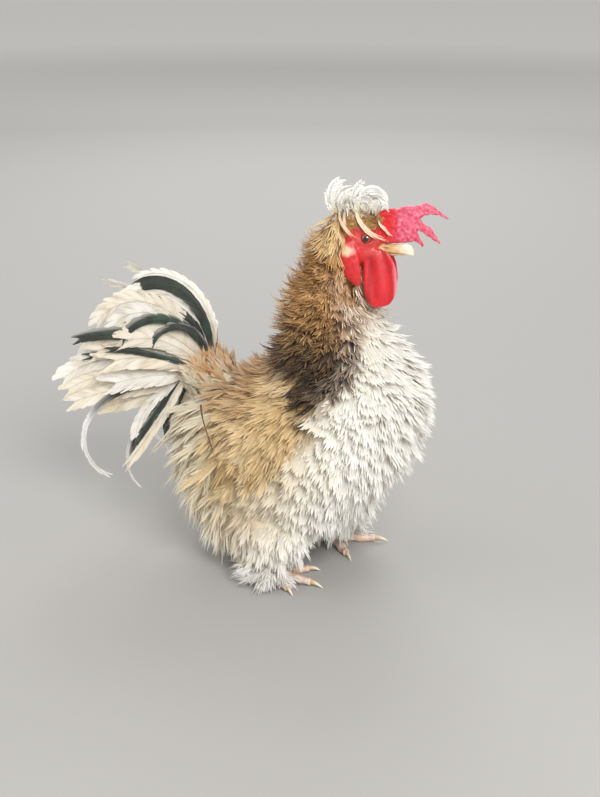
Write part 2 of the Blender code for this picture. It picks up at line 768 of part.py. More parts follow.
def plume(leave, splay, length, width, droop, late, root_drop, side):
    """A tail feather that stands on edge, leaves the rump and droops towards its tip."""
    out = side * math.radians(splay)
    steps = 40
    aside = np.array((0, side * (1.5 + splay * 0.28), 0))
    start = RUMP_END + TAIL_AXIS * (6 + max(0, -30 - leave) * 0.15) + TAIL_DOWN * root_drop + aside
    point, trail = start, [start]
    normals = []
    for k in range(steps):
        t = (k + 0.5) / steps
        rise = math.radians(leave - droop * t**late)
        turn = out * (1.0 - 0.25 * t)
        level = math.cos(rise)
        ahead = np.array((-level * math.cos(turn), level * math.sin(turn), math.sin(rise)))
        ahead = unit(ahead + np.array((0, 0.35 * math.sin(turn) * abs(math.sin(rise)), 0)))
        point = point + ahead * length / steps
        trail.append(point)
        outward = np.array((0.0, side, 0.0)) + 0.45 * np.array((math.sin(rise), 0.0, math.cos(rise)))
        normals.append(unit(outward - ahead * (outward @ ahead)))
    normals.append(normals[-1])
    curved = abs(droop) > 75
    picked = [round(f * steps) for f in (PLUME_STEPS if curved else VANE_STEPS)]
    points, blades = [trail[i] for i in picked], [normals[i] for i in picked]
    points[0] = points[0] - 4 * unit(points[1] - points[0])
    return blade(points, blades, [width * w for w in (PLUME_OUTLINE if curved else VANE_OUTLINE)], 0.9)


def make_tail(model):
    core = rump_tube(RUMP_END + TAIL_AXIS * GAP, TAIL_END, (20, 18.5, 14, 7))
    pieces = []
    for name, side in SIDES.items():
        for leave, splay, length, width, droop, late, drop in PLUMES:
            if name == "L":
                leave, splay, length = leave - 9 * (leave > 30), splay + 1.5, length * 0.93
            pieces.append(plume(leave, splay, length, width, droop, late, drop, side))
    pieces += [plume(*spec, SIDES["L"]) for spec in STRAYS]
    kept = [p for p in pieces if model.clear(("tail",), p)]
    print("tail feathers kept", len(kept), "of", len(pieces))
    rump = rump_tube(RUMP_FROM, RUMP_END + TAIL_AXIS * GAP * 0.9, (26 + GAP, 24 + GAP, 20 + GAP))
    model.add("tail", core, "tail_feather", kept, [rump])


FEET = {"R": (-11.0, -35.0), "L": (8.0, 39.0)}
TOES = {
    "R": {"inner": (36, 36), "middle": (-3, 42), "outer": (-38, 34), "hind": (172, 20)},
    "L": {"inner": (-44, 36), "middle": (22, 42), "outer": (58, 34), "hind": (196, 20)},
}
SHANK_TOP = 26.0
ANKLE_Z = 9.0


def make_leg(model, name, side):
    """Feathered thigh cut to fit under the body, and the short bare shank below it."""
    x, y = FEET[name]
    rings = []
    for z, cx, cy, a, b in ((SHANK_TOP, x, y, 14, 13), (33, x, y, 23, 18), (42, x, y + side, 29, 22),
                            (53, x + 1, y + side, 31, 24), (66, x + 2, y - side, 27, 20)):
        rings.append([(cx + a * math.cos(t), cy + b * math.sin(t), z)
                      for t in np.linspace(0, 2 * math.pi, 16, endpoint=False)])
    thigh = loft(rings)
    rng = random.Random(31)
    shapes = []
    for row, (z, count, reach, half) in enumerate(((54, 8, 34, 29), (43, 6, 30, 27), (33, 6, 24, 21))):
        for k in range(count):
            a = 2 * math.pi * (k + 0.5 * row) / count
            root = np.array((x + half * math.cos(a), y + half * 0.78 * math.sin(a), z))
            if row == 0 and math.sin(a) * side < 0.2:
                continue
            normal = unit(np.array((math.cos(a), 1.2 * math.sin(a), -0.25)))
            lie = unit(np.array((0, 0, -1.0)) + normal * normal[2])
            shapes.append({"root": root, "lie": lie, "normal": normal, "length": reach + rng.uniform(-2, 2),
                           "width": 17 - row, "lift": 14, "curl": 35})
    feathers = clear_feathers(model, f"thigh_{name}", feather, shapes)
    model.add(f"thigh_{name}", thigh, "white_feather", feathers, [torso_core(GAP)])
    shank = tube([(x, y, ANKLE_Z + GAP), (x, y, 16), (x, y, SHANK_TOP - GAP)], (5.6, 5.2, 5.8), 10, None,
                 (1, 1), (0, 1, 0))
    model.add(f"shank_{name}", shank, "leg_scale")


def floor_flat(shape):
    """Presses the underside of a shape flat on the floor."""
    return [(px, py, max(pz, 0.0)) for px, py, pz in shape[0]], shape[1]


def make_foot(model, name, side):
    x, y = FEET[name]
    turns = np.linspace(0.05, 2 * math.pi + 0.05, 11, endpoint=False)
    pad = [
        [(x + r * math.cos(t), y + r * math.sin(t), z) for t in turns]
        for z, r in ((0, 7.2), (2.5, 8.4), (6.5, 7.4), (ANKLE_Z, 5.8))
    ]
    toes, claws = [], []
    for toe, (heading, length) in TOES[name].items():
        a = math.radians(heading)
        ahead = np.array((math.cos(a), math.sin(a), 0))
        thick = 3.1 if toe == "hind" else 3.6
        path = [np.array((x, y, 3.4)) + ahead * length * t + UP * lift
                for t, lift in ((0.05, 1.0), (0.3, 0.2), (0.52, 0.3), (0.78, 0.2))]
        radii = (thick + 1.2, thick + 0.6, thick, thick - 0.7)
        end = path[-1] + ahead * 2
        toes.append(floor_flat(tube(path + [end], radii + (thick - 1.2,), 6)))
        claw = [end + ahead * (GAP + t * length * 0.2) + UP * lift
                for t, lift in ((0, 0.2), (0.35, 0.2), (0.7, 0.0))]
        point = end + ahead * (GAP + length * 0.24) + UP * (0.4 - end[2])
        claws.append((toe, floor_flat(tube(claw, (1.9, 1.6, 1.1), 6, point))))
    spots = []
    rng = random.Random(41)
    for k in range(6):
        turn = side * math.radians(30 + 24 * k)
        out = np.array((math.cos(turn), math.sin(turn), 0))
        spots.append({"root": np.array((x, y, 5.5)) + out * 5.5, "lie": out, "normal": UP.copy(),
                      "length": 30 - 2 * abs(k - 2.5) + rng.uniform(-2, 2), "width": 10.5,
                      "lift": 12 + 6 * (k % 2), "curl": -28, "sink": 4})
    for toe, shape in claws:
        model.add(f"claw_{name}_{toe}", shape, "claw")
    feathers = clear_feathers(model, f"foot_{name}", feather, spots)
    model.add(f"foot_{name}", loft(pad), "leg_scale", toes + feathers)


def make_torso(model):
    rng = random.Random(7)

    def wanted(angle, z):
        return z < 168 or abs(angle) < 1.0

    def style(angle, z, rng):
        back = abs(angle) > 2.0
        if z < 55:
            rear = abs(angle) > 1.7
            return {"length": (38 if rear else 25) + rng.uniform(-3, 3), "width": 20, "lift": 6, "curl": 20 - 16 * rear}
        if back and z > 130:
            return {"length": 28 + rng.uniform(-3, 3), "width": 19, "lift": 14, "curl": 50}
        if back:
            low = z < 75
            return {"length": 52 + rng.uniform(-4, 4), "width": 22, "lift": 20 if low else 30, "curl": -8}
        front = abs(angle) < 1.0
        return {"length": 35 + rng.uniform(-3, 3), "width": 26, "lift": 9 if front else 13, "curl": 38}

    spots = rows(BODY_SLICES, (48, 66, 87, 108, 129, 152), 31.5, wanted, style, rng)
    pieces = [rump_tube(RUMP_FROM, RUMP_END, (26, 24, 20))]
    pieces += clear_feathers(model, "torso", feather, spots)
    model.add("torso", torso_core(), "breast_feather", pieces)


def show_box(model):
    """Prints where the bounding box's bottom centre is, in millimetres of the finished frame."""
    meshes = [obj.data for obj in model.parts.objects if obj.type == "MESH"]
    points = np.array([v.co for mesh in meshes for v in mesh.vertices])
    low, high = points.min(axis=0), points.max(axis=0)
    centre = (low + high) / 2 + np.array(model.root.location)
    print("box centre off by", round(centre[0] / MM, 2), round(centre[1] / MM, 2), "floor", low[2] / MM)


def main():
    for obj in list(bpy.data.objects):
        bpy.data.objects.remove(obj)
    model = Model()
    for name, colour, roughness in (
        ("face_skin", (0.62, 0.06, 0.05), 0.55),
        ("comb_skin", (0.70, 0.07, 0.10), 0.6),
        ("wattle_skin", (0.72, 0.03, 0.04), 0.5),
        ("eye", (0.30, 0.08, 0.02), 0.08),
        ("beak", (0.72, 0.58, 0.38), 0.45),
        ("white_feather", (0.85, 0.83, 0.78), 0.8),
        ("hackle_feather", (0.33, 0.21, 0.11), 0.8),
        ("gold_feather", (0.62, 0.44, 0.22), 0.8),
        ("breast_feather", (0.84, 0.79, 0.68), 0.8),
        ("tail_feather", (0.75, 0.72, 0.66), 0.75),
        ("leg_scale", (0.72, 0.52, 0.46), 0.6),
        ("claw", (0.80, 0.76, 0.66), 0.45),
    ):
        model.material(name, colour, roughness)
    model.reserve("torso", torso_core(GAP))
    model.reserve("neck", neck_core(GAP))
    make_head(model)
    make_beak(model)
    make_comb(model)
    make_wattles(model)
    make_lobes(model)
    make_nape(model)
    make_crest(model)
    for name, side in SIDES.items():
        make_wing(model, name, side)
    make_neck(model)
    for name, side in SIDES.items():
        make_leg(model, name, side)
        make_foot(model, name, side)
    make_tail(model)
    make_torso(model)
    model.root.location = (TO_BOX_CENTRE[0] * MM, TO_BOX_CENTRE[1] * MM, 0.0)
    show_box(model)


main()
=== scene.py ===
"""Looks of the standing frizzle bantam cock: one skin with its bare face, a coat of curled
feathers as meshes, tail vanes, eyes, beak and claws.

Shapes are written in millimetres about the point on the floor between the feet, with the
bird facing +X and its left side at +Y. place() takes them into the frame of the model.
"""

import math

import bpy
import numpy as np
from mathutils import Matrix, Vector
from mathutils.geometry import tessellate_polygon


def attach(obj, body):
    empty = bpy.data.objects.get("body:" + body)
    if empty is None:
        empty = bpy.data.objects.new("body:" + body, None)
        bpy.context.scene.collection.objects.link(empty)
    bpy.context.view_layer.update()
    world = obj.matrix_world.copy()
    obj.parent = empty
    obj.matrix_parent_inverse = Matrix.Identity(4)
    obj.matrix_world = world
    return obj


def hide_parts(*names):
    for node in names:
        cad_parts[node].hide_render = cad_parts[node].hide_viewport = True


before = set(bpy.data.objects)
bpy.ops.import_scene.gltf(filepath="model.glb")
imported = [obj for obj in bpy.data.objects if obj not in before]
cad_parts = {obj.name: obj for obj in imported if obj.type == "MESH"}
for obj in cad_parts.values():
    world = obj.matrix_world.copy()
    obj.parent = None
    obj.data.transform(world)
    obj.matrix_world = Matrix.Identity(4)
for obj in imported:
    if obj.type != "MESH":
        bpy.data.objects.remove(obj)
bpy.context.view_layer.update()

MM = 0.001
# Where the point between the feet lies in the frame, in millimetres.
SHIFT = np.array((45.83, 0.0, 0.0))
UP = np.array((0.0, 0.0, 1.0))
SIDES = {"R": -1, "L": 1}
# Width of a tuft's patch on the UV map.
PATCH = 0.003
# A coat piece with more triangles than this is split.
MOST_TRIANGLES = 190_000
COAT_SEED = 5
BREAST_SEED = 11
TAIL_SEED = 17
QUILL_SEED = 23
# How deep a feather starts under its surface, and how high the coat stays over the floor.
ROOT_DEPTH = 2.5
LEAST_HEIGHT = 0.3
SHARP_TURN = math.radians(65)
CROWN_HEIGHT = 285.2
QUILL_STATIONS = 20

# The camera looks down at the bird from its right side. Its focal length is in pixels of the photo.
CAMERA_AT = (420.168, -906.661, 532.016)
CAMERA_TURN = math.radians(25.0)
CAMERA_RISE = math.radians(21.6)
SENSOR_HEIGHT = 36.0
FOCAL_PIXELS = 1424
PHOTO_HEIGHT = 797

# Lamps: name, place in metres, size in metres and power in watts.
LAMPS = (
    ("key", (1.15, -1.1, 1.3), 0.9, 33),
    ("fill", (-1.5, -0.7, 0.8), 1.4, 9),
    ("rim", (-0.6, 1.5, 1.3), 1.2, 18),
)
LIT_HEIGHT = 150
SKY_COLOUR = (0.95, 0.945, 0.93, 1)
SKY_STRENGTH = 0.62

# The floor is paler far away than near the bird, as painted light where the lamps light it less. Distances
# are in metres.
FLOOR_HALF = 8
FLOOR_NEAR = (1.8, (0.40, 0.39, 0.375, 1))
FLOOR_FAR = (3.0, (0.80, 0.785, 0.76, 1))


def place(points):
    """Points in millimetres about the feet, as metres in the frame of the model."""
    return (np.asarray(points, float) + SHIFT) * MM


def rgb(*screen):
    """Linear colour of a screen colour given from 0 to 255."""
    c = np.array(screen, float) / 255
    return np.where(c <= 0.04045, c / 12.92, ((c + 0.055) / 1.055) ** 2.4)


def unit(v):
    """Vectors scaled to a length of 1."""
    v = np.asarray(v, float)
    return v / np.maximum(np.linalg.norm(v, axis=-1, keepdims=True), 1e-9)


def smooth(low, high, value):
    """A soft step from 0 at low to 1 at high, also where low is the greater."""
    t = np.clip((value - low) / (high - low), 0, 1)
    return t * t * (3 - 2 * t)


# Smooth noise


def lattice(x, y, z, seed):
    """A fixed value from 0 to 1 for each whole-numbered place."""
    n = x.astype(np.uint64) * np.uint64(73856093)
    n ^= y.astype(np.uint64) * np.uint64(19349663)
    n ^= z.astype(np.uint64) * np.uint64(83492791)
    n = (n + np.uint64(seed * 7919 + 13)) & np.uint64(0xFFFFFFFF)
    for shift, factor in ((15, 2246822519), (13, 3266489917)):
        n = ((n ^ (n >> np.uint64(shift))) * np.uint64(factor)) & np.uint64(0xFFFFFFFF)
    return (n ^ (n >> np.uint64(16))).astype(float) / 2**32


def noise(points, scale, seed=0):
    """Smooth noise from -1 to 1, one cell of it scale wide."""
    q = np.asarray(points, float) / scale + 1000
    cell = np.floor(q).astype(np.int64)
    f = q - cell
    w = f * f * (3 - 2 * f)
    total = 0
    for dx in (0, 1):
        for dy in (0, 1):
            for dz in (0, 1):
                share = (
                    (w[..., 0] if dx else 1 - w[..., 0])
                    * (w[..., 1] if dy else 1 - w[..., 1])
                    * (w[..., 2] if dz else 1 - w[..., 2])
                )
                total += share * lattice(cell[..., 0] + dx, cell[..., 1] + dy, cell[..., 2] + dz, seed)
    return 2 * total - 1


# Forms of the body

# Height, rearmost X, foremost X, half width.
BODY_SLICES = np.array(
    (
        (38, -30, 4, 16),
        (43, -54, 20, 32),
        (50, -69, 33, 43),
        (60, -79, 47, 51),
        (75, -86, 60, 59),
        (95, -89, 76, 64),
        (115, -87, 85, 66),
        (135, -78, 89, 64),
        (150, -60, 90, 59),
        (162, -39, 88, 52),
        (172, -25, 83, 45),
        (182, -19, 77, 39),
        (195, -13, 69, 33),
        (208, -9, 59, 28.5),
        (220, -5, 51, 25.5),
        (235, 4, 47, 23),
        (250, 15, 50, 20.5),
    ),
    float,
)
HEAD_X = 40
HEAD_TURN = math.radians(7)
HEAD_SLICES = np.array(
    (
        (250, -18, 11, 16),
        (256, -17, 20, 15.5),
        (263, -16, 21, 15.2),
        (270, -14, 20, 14.2),
        (277, -12, 18, 12.2),
        (283, -8, 13, 8.8),
        (287, -3, 8, 4.5),
    ),
    float,
)
NAPE_SLICES = np.array(
    (
        (246, -27, 3, 18.5),
        (255, -27.5, 1, 17.5),
        (265, -24, -2, 16),
        (274, -19.5, -4, 13.5),
        (281, -14, -5, 10),
        (286, -8, -5, 4.5),
    ),
    float,
)
BEAK_ROOT = 18.5
EYE_RADIUS = 4.6
EYE_AT = (12.0, 10.6, 269.5)
THIGH = ((26, 0, 0, 14, 13), (33, 0, 0, 23, 18), (42, 0, 1, 29, 22), (53, 1, 1, 31, 24),
         (66, 2, -1, 27, 20))
FEET = {"R": (-11.0, -35.0), "L": (8.0, 39.0)}
TOES = {
    "R": {"inner": (36, 36), "middle": (-3, 42), "outer": (-38, 34), "hind": (172, 20)},
    "L": {"inner": (-44, 36), "middle": (22, 42), "outer": (58, 34), "hind": (196, 20)},
}
RUMP_FROM = np.array((-45.0, 0.0, 112.0))
RUMP_END = np.array((-82.0, 0.0, 145.0))
TAIL_AXIS = unit(RUMP_END - RUMP_FROM)
TAIL_DOWN = np.cross(TAIL_AXIS, (0.0, 1.0, 0.0))
WING_AT = (13, 131)
WING_HALF = (37, 25)
WING_DROP = math.radians(27)


def through(table, at):
    """Values on a smooth curve through a table whose first column holds the stations."""
    stations, values = table[:, 0], table[:, 1:]
    slopes = np.gradient(values, stations, axis=0)
    at = np.asarray(at, float)
    k = np.clip(np.searchsorted(stations, at) - 1, 0, len(stations) - 2)
    span = (stations[k + 1] - stations[k])[..., None]
    t = (at - stations[k])[..., None] / span
    return (
        (2 * t**3 - 3 * t**2 + 1) * values[k]
        + (t**3 - 2 * t**2 + t) * span * slopes[k]
        + (3 * t**2 - 2 * t**3) * values[k + 1]
        + (t**3 - t**2) * span * slopes[k + 1]
    )


def circle(sides):
    """Even turns round a ring, in radians."""
    return np.linspace(0, 2 * math.pi, sides, endpoint=False)


def slice_share(row, x):
    """Where x lies in a slice, from -1 at its rear to 1 at its front."""
    back, front = row[..., 0], row[..., 1]
    return (x - (back + front) / 2) / ((front - back) / 2)


def slice_point(table, angle, z):
    """Points of a sliced form at angles from its front and at heights."""
    row = through(table, z)
    back, front, half = row[..., 0], row[..., 1], row[..., 2]
    x = (back + front) / 2 + (front - back) / 2 * np.cos(angle)
    return np.stack([x, half * np.sin(angle), np.broadcast_to(z, x.shape)], axis=-1)


def slice_frame(table, angle, z):
    """Points, outward normals and downward lies of a sliced form at angles from its front."""
    step = 0.5
    angle, z = np.broadcast_arrays(np.asarray(angle, float), np.asarray(z, float))
    z = np.clip(z, table[0, 0] + step, table[-1, 0] - step)
    point = slice_point(table, angle, z)
    along = slice_point(table, angle + 0.01, z) - slice_point(table, angle - 0.01, z)
    down = slice_point(table, angle, z - step) - slice_point(table, angle, z + step)
    return point, unit(np.cross(down, along)), unit(down)


def turned(points):
    """Head measures (forward, left, up) as points of the bird."""
    p = np.asarray(points, float)
    c, s = math.cos(HEAD_TURN), math.sin(HEAD_TURN)
    x, y, z = p[..., 0], p[..., 1], p[..., 2]
    return np.stack([HEAD_X + x * c - y * s, x * s + y * c, z], axis=-1)


def turned_vector(v):
    """Directions in head measures as directions of the bird."""
    return turned(v) - turned(np.zeros(3))


def head_measures(points):
    """Points of the bird as head measures."""
    p = np.asarray(points, float) - np.array((HEAD_X, 0.0, 0.0))
    c, s = math.cos(-HEAD_TURN), math.sin(-HEAD_TURN)
    x, y, z = p[..., 0], p[..., 1], p[..., 2]
    return np.stack([x * c - y * s, x * s + y * c, z], axis=-1)


# Meshes


def mesh_object(name, points, faces, material, colours=None, uv=None):
    """An object from points in millimetres and triangles, shaded smooth."""
    points, faces = np.asarray(points, float), np.asarray(faces, np.int64)
    mesh = bpy.data.meshes.new(name)
    mesh.vertices.add(len(points))
    mesh.vertices.foreach_set("co", place(points).astype(np.float32).ravel())
    mesh.loops.add(faces.size)
    mesh.loops.foreach_set("vertex_index", faces.astype(np.int32).ravel())
    mesh.polygons.add(len(faces))
    mesh.polygons.foreach_set("loop_start", np.arange(0, faces.size, 3, dtype=np.int32))
    mesh.update(calc_edges=True)
    mesh.validate()
    mesh.shade_smooth()
    if colours is not None:
        paint(mesh, colours)
    if uv is not None:
        layer = mesh.uv_layers.new(name="OFBake")
        layer.uv.foreach_set("vector", np.asarray(uv, np.float32)[faces.ravel()].ravel())
    obj = bpy.data.objects.new(name, mesh)
    bpy.context.scene.collection.objects.link(obj)
    if material is not None:
        mesh.materials.append(material)
    return obj


def paint(mesh, colours):
    """Stores a colour for each vertex, which the materials read."""
    tint = mesh.color_attributes.new("tint", "FLOAT_COLOR", "POINT")
    rgba = np.ones((len(mesh.vertices), 4), np.float32)
    rgba[:, :3] = np.clip(colours, 0, 1)
    tint.data.foreach_set("color", rgba.ravel())


def mesh_points(obj):
    """An object's vertices in millimetres about the feet."""
    flat = np.zeros(len(obj.data.vertices) * 3, np.float32)
    obj.data.vertices.foreach_get("co", flat)
    return flat.reshape(-1, 3).astype(float) / MM - SHIFT


def set_points(obj, points):
    """Moves an object's vertices to points in millimetres about the feet."""
    obj.data.vertices.foreach_set("co", place(points).astype(np.float32).ravel())
    obj.data.update()


def mesh_normals(obj):
    """An object's vertex normals."""
    flat = np.zeros(len(obj.data.vertices) * 3, np.float32)
    obj.data.vertex_normals.foreach_get("vector", flat)
    return flat.reshape(-1, 3).astype(float)


def band_faces(a, b, sides):
    """Triangles between rings, from neighbours a and b on each ring to the ring after it."""
    return [
        np.stack([a, b, b + sides], -1).reshape(-1, 3),
        np.stack([a, b + sides, a + sides], -1).reshape(-1, 3),
    ]


def loft(rings, tip=None, tail=None):
    """Points and triangles of a closed skin through rings of alike count. The ends close on
    the tip and tail points, or on each end ring's middle."""
    rings = np.asarray(rings, float)
    count, sides = rings.shape[:2]
    tip = rings[-1].mean(0) if tip is None else np.asarray(tip, float)
    tail = rings[0].mean(0) if tail is None else np.asarray(tail, float)
    points = np.concatenate([rings.reshape(-1, 3), [tip, tail]])
    k, i = np.meshgrid(np.arange(count - 1), np.arange(sides), indexing="ij")
    a, b = k * sides + i, k * sides + (i + 1) % sides
    faces = band_faces(a, b, sides)
    i = np.arange(sides)
    last = (count - 1) * sides
    faces.append(np.stack([last + i, last + (i + 1) % sides, np.full(sides, count * sides)], -1))
    faces.append(np.stack([(i + 1) % sides, i, np.full(sides, count * sides + 1)], -1))
    return points, np.concatenate(faces)


def ring_frames(path, across):
    """A path and, at each of its points, the two directions that its rings lie in."""
    path = np.asarray(path, float)
    ahead = unit(np.gradient(path, axis=0))
    side = unit(np.asarray(across, float) - ahead * (ahead @ np.asarray(across, float))[:, None])
    return path, side, np.cross(ahead, side)


def tube(path, radii, sides=24, across=(0, 1, 0), widen=(1.0, 1.0), tip=None, tail=None):
    """Closed tube along a path, round or flattened."""
    path, side, rise = ring_frames(path, across)
    turn = circle(sides)
    radii = np.asarray(radii, float)[:, None, None]
    aside = widen[0] * np.cos(turn)[None, :, None] * side[:, None]
    above = widen[1] * np.sin(turn)[None, :, None] * rise[:, None]
    return loft(path[:, None] + radii * (aside + above), tip, tail)


def dense(points, count):
    """A smooth line through points, as count points of it."""
    points = np.asarray(points, float)
    stations = np.arange(len(points), dtype=float)
    return through(np.column_stack([stations, points]), np.linspace(0, len(points) - 1, count))


def ball(centre, radii, rings=14, sides=24):
    """Closed ellipsoid."""
    level = np.linspace(-math.pi / 2, math.pi / 2, rings + 2)[1:-1]
    turn = circle(sides)
    c, r = np.asarray(centre, float), np.broadcast_to(np.asarray(radii, float), 3)
    ring = np.stack(
        [
            np.cos(level)[:, None] * np.cos(turn),
            np.cos(level)[:, None] * np.sin(turn),
            np.sin(level)[:, None] + 0 * turn,
        ],
        axis=-1,
    )
    return loft(c + r * ring, c + (0, 0, r[2]), c - (0, 0, r[2]))


def joined(shapes):
    """Points and triangles of several shapes as one."""
    points, faces, start = [], [], 0
    for p, f in shapes:
        points.append(p)
        faces.append(f + start)
        start += len(p)
    return np.concatenate(points), np.concatenate(faces)


def baked(obj):
    """Replaces an object's mesh by what its modifiers make of it."""
    graph = bpy.context.evaluated_depsgraph_get()
    mesh = bpy.data.meshes.new_from_object(obj.evaluated_get(graph))
    old = obj.data
    obj.modifiers.clear()
    obj.data = mesh
    bpy.data.meshes.remove(old)
    return obj


def remeshed(name, shapes, size, passes):
    """One closed surface round shapes that overlap, its corners rounded by smoothing."""
    points, faces = joined(shapes)
    obj = mesh_object(name, points, faces, None)
    voxels = obj.modifiers.new("voxels", "REMESH")
    voxels.mode = "VOXEL"
    voxels.voxel_size = size * MM
    if passes:
        rounder = obj.modifiers.new("rounder", "SMOOTH")
        rounder.factor = 0.5
        rounder.iterations = passes
    baked(obj)
    obj.data.shade_smooth()
    return obj


# Materials


def node_tree(name):
    """A new material, with its nodes, links and shader."""
    material = bpy.data.materials.new(name)
    material.use_nodes = True
    nodes, links = material.node_tree.nodes, material.node_tree.links
    shader = nodes["Principled BSDF"]
    return material, nodes, links, shader


def add_node(nodes, kind, values=None):
    """A new shader node with its inputs set by name."""
    node = nodes.new("ShaderNode" + kind)
    for name, value in (values or {}).items():
        node.inputs[name].default_value = value
    return node


def tinted(name, roughness, sheen=0.0, subsurface=0.0, radius=(1, 1, 1), scale=0.002, grain=0.0,
           grain_size=0.001, bump=0.0, bump_size=0.0006, coat=0.0, stretch=(1, 1, 1), spread=0.08):
    """Surface that takes its colour from the points' tint, with grain and fine relief."""
    material, nodes, links, shader = node_tree(name)
    tint = add_node(nodes, "Attribute")
    tint.attribute_name = "tint"
    where = add_node(nodes, "TexCoord")
    colour = tint.outputs["Color"]
    if grain:
        spots = add_node(nodes, "TexNoise", {"Scale": 1 / grain_size, "Detail": 3})
        links.new(where.outputs["Object"], spots.inputs["Vector"])
        limits = {"From Min": 0.3, "From Max": 0.7, "To Min": 1 - grain, "To Max": 1 + grain}
        ramp = add_node(nodes, "MapRange", limits)
        links.new(spots.outputs["Fac"], ramp.inputs["Value"])
        mixed = add_node(nodes, "VectorMath")
        mixed.operation = "SCALE"
        links.new(colour, mixed.inputs[0])
        links.new(ramp.outputs["Result"], mixed.inputs["Scale"])
        colour = mixed.outputs["Vector"]
    links.new(colour, shader.inputs["Base Color"])
    surface = {
        "Roughness": roughness,
        "Sheen Weight": sheen,
        "Sheen Roughness": 0.5,
        "Coat Weight": coat,
        "Coat Roughness": spread,
    }
    if subsurface:
        surface["Subsurface Weight"] = subsurface
        surface["Subsurface Radius"] = radius
        surface["Subsurface Scale"] = scale
    for socket, value in surface.items():
        shader.inputs[socket].default_value = value
    if bump:
        fine = add_node(nodes, "TexNoise", {"Scale": 1 / bump_size, "Detail": 4, "Roughness": 0.6})
        stretched = add_node(nodes, "Mapping", {"Scale": stretch})
        links.new(where.outputs["Object"], stretched.inputs["Vector"])
        links.new(stretched.outputs["Vector"], fine.inputs["Vector"])
        relief = add_node(nodes, "Bump", {"Strength": bump, "Distance": 0.0004})
        links.new(fine.outputs["Fac"], relief.inputs["Height"])
        links.new(relief.outputs["Normal"], shader.inputs["Normal"])
    return material


WARM_GLOW = (1.0, 0.85, 0.7)
FLESH = tinted("flesh", 0.42, subsurface=0.25, radius=(1.0, 0.25, 0.15), scale=0.002, grain=0.12,
               grain_size=0.0025, bump=0.5, bump_size=0.0005, coat=0.15, spread=0.3)
PLUMAGE = tinted("plumage", 0.8, sheen=0.3, subsurface=0.4, radius=WARM_GLOW, scale=0.004, grain=0.05,
                 grain_size=0.0015)
HACKLE = tinted("hackle", 0.75, sheen=0.05, grain=0.08, grain_size=0.0015)
VANE = tinted("vane", 0.55, sheen=0.2, subsurface=0.3, radius=WARM_GLOW, scale=0.003, grain=0.05,
              grain_size=0.0015, bump=0.25, bump_size=0.0006)
HORN = tinted("horn", 0.35, subsurface=0.15, radius=(1.0, 0.7, 0.4), scale=0.0015, grain=0.12,
              grain_size=0.003, bump=0.25, bump_size=0.0012, coat=0.2, stretch=(1, 1, 5), spread=0.2)
EYE = tinted("eye", 0.15, grain=0.1, grain_size=0.0006, coat=1.0, spread=0.02)

# Colours

WHITE = rgb(253, 250, 242)
SAND = rgb(232, 210, 166)
CREAM = rgb(246, 236, 214)
GOLD = rgb(212, 174, 112)
GOLD_DARK = rgb(186, 142, 86)
GOLD_PALE = rgb(235, 214, 168)
FLUFF = rgb(222, 208, 174)
BROWN = rgb(176, 122, 66)
BROWN_DARK = rgb(88, 56, 34)
BROWN_PALE = rgb(218, 180, 124)
CHARCOAL = rgb(34, 28, 25)
TAUPE = rgb(196, 176, 156)
INK = rgb(30, 34, 30)
RED = rgb(198, 29, 35)
FACE_RED = rgb(200, 56, 54)
CREAM_SPOT = rgb(248, 210, 178)
BACK_ROOT = rgb(124, 84, 46)
BACK_TIP = rgb(186, 134, 76)
CROWN_PALE = rgb(240, 226, 200)
FACE_PINK = rgb(216, 88, 82)
FACE_DEEP = rgb(176, 26, 26)
WATTLE_BRIGHT = rgb(226, 44, 54)
WATTLE_FOLD_SHADE = rgb(150, 12, 24)
WATTLE_RIM_HIGHLIGHT = rgb(246, 140, 152)
LOBE_BRIGHT = rgb(222, 60, 62)
COMB_RED = rgb(214, 34, 44)
COMB_DUSTY = rgb(204, 58, 88)
COMB_PINK = rgb(236, 128, 150)
LEG_PALE = rgb(238, 218, 200)
LEG_DARK = rgb(206, 168, 146)
IRIS = rgb(140, 44, 22)
IRIS_DARK = rgb(104, 26, 14)
IRIS_BRIGHT = rgb(182, 78, 36)
PUPIL = rgb(8, 6, 6)
EYE_RIM = rgb(120, 30, 20)
BEAK_HORN = rgb(212, 172, 118)
BEAK_PALE = rgb(242, 226, 200)
BEAK_AMBER = rgb(206, 142, 80)
BEAK_STREAK = rgb(160, 116, 74)
BEAK_GAPE_SHADE = rgb(120, 78, 46)
NOSTRIL_SHADE = rgb(60, 30, 20)
JAW_HORN = rgb(228, 196, 146)
JAW_PALE = rgb(240, 222, 190)
JAW_GAPE_SHADE = rgb(110, 66, 40)
CLAW_ROOT = rgb(206, 172, 140)
CLAW_TIP = rgb(240, 226, 204)
CAPE_FRINGE = rgb(226, 208, 186)
NAPE_LIGHT = rgb(228, 194, 132)
FOOT_SHADE = rgb(196, 184, 168)
CREST_ROOT = rgb(232, 206, 154)
CREST_CREAM = rgb(240, 222, 184)
CHEEK_ROOT = rgb(246, 230, 190)
CHEEK_TIP = rgb(250, 206, 166)
RUMP_TIP = rgb(204, 146, 82)
VANE_WHITE = rgb(244, 238, 226)
VANE_CREAM = rgb(232, 214, 182)
VANE_ROOT = rgb(206, 184, 150)
VANE_STREAK = rgb(176, 160, 138)
VANE_EDGE = rgb(74, 62, 58)
INK_GREEN = rgb(40, 66, 50)
INK_ROOT = rgb(150, 136, 118)


def blend(a, b, share):
    """Colour a where share is 0, and b where it is 1."""
    share = np.asarray(share, float)[..., None]
    return a * (1 - share) + b * share


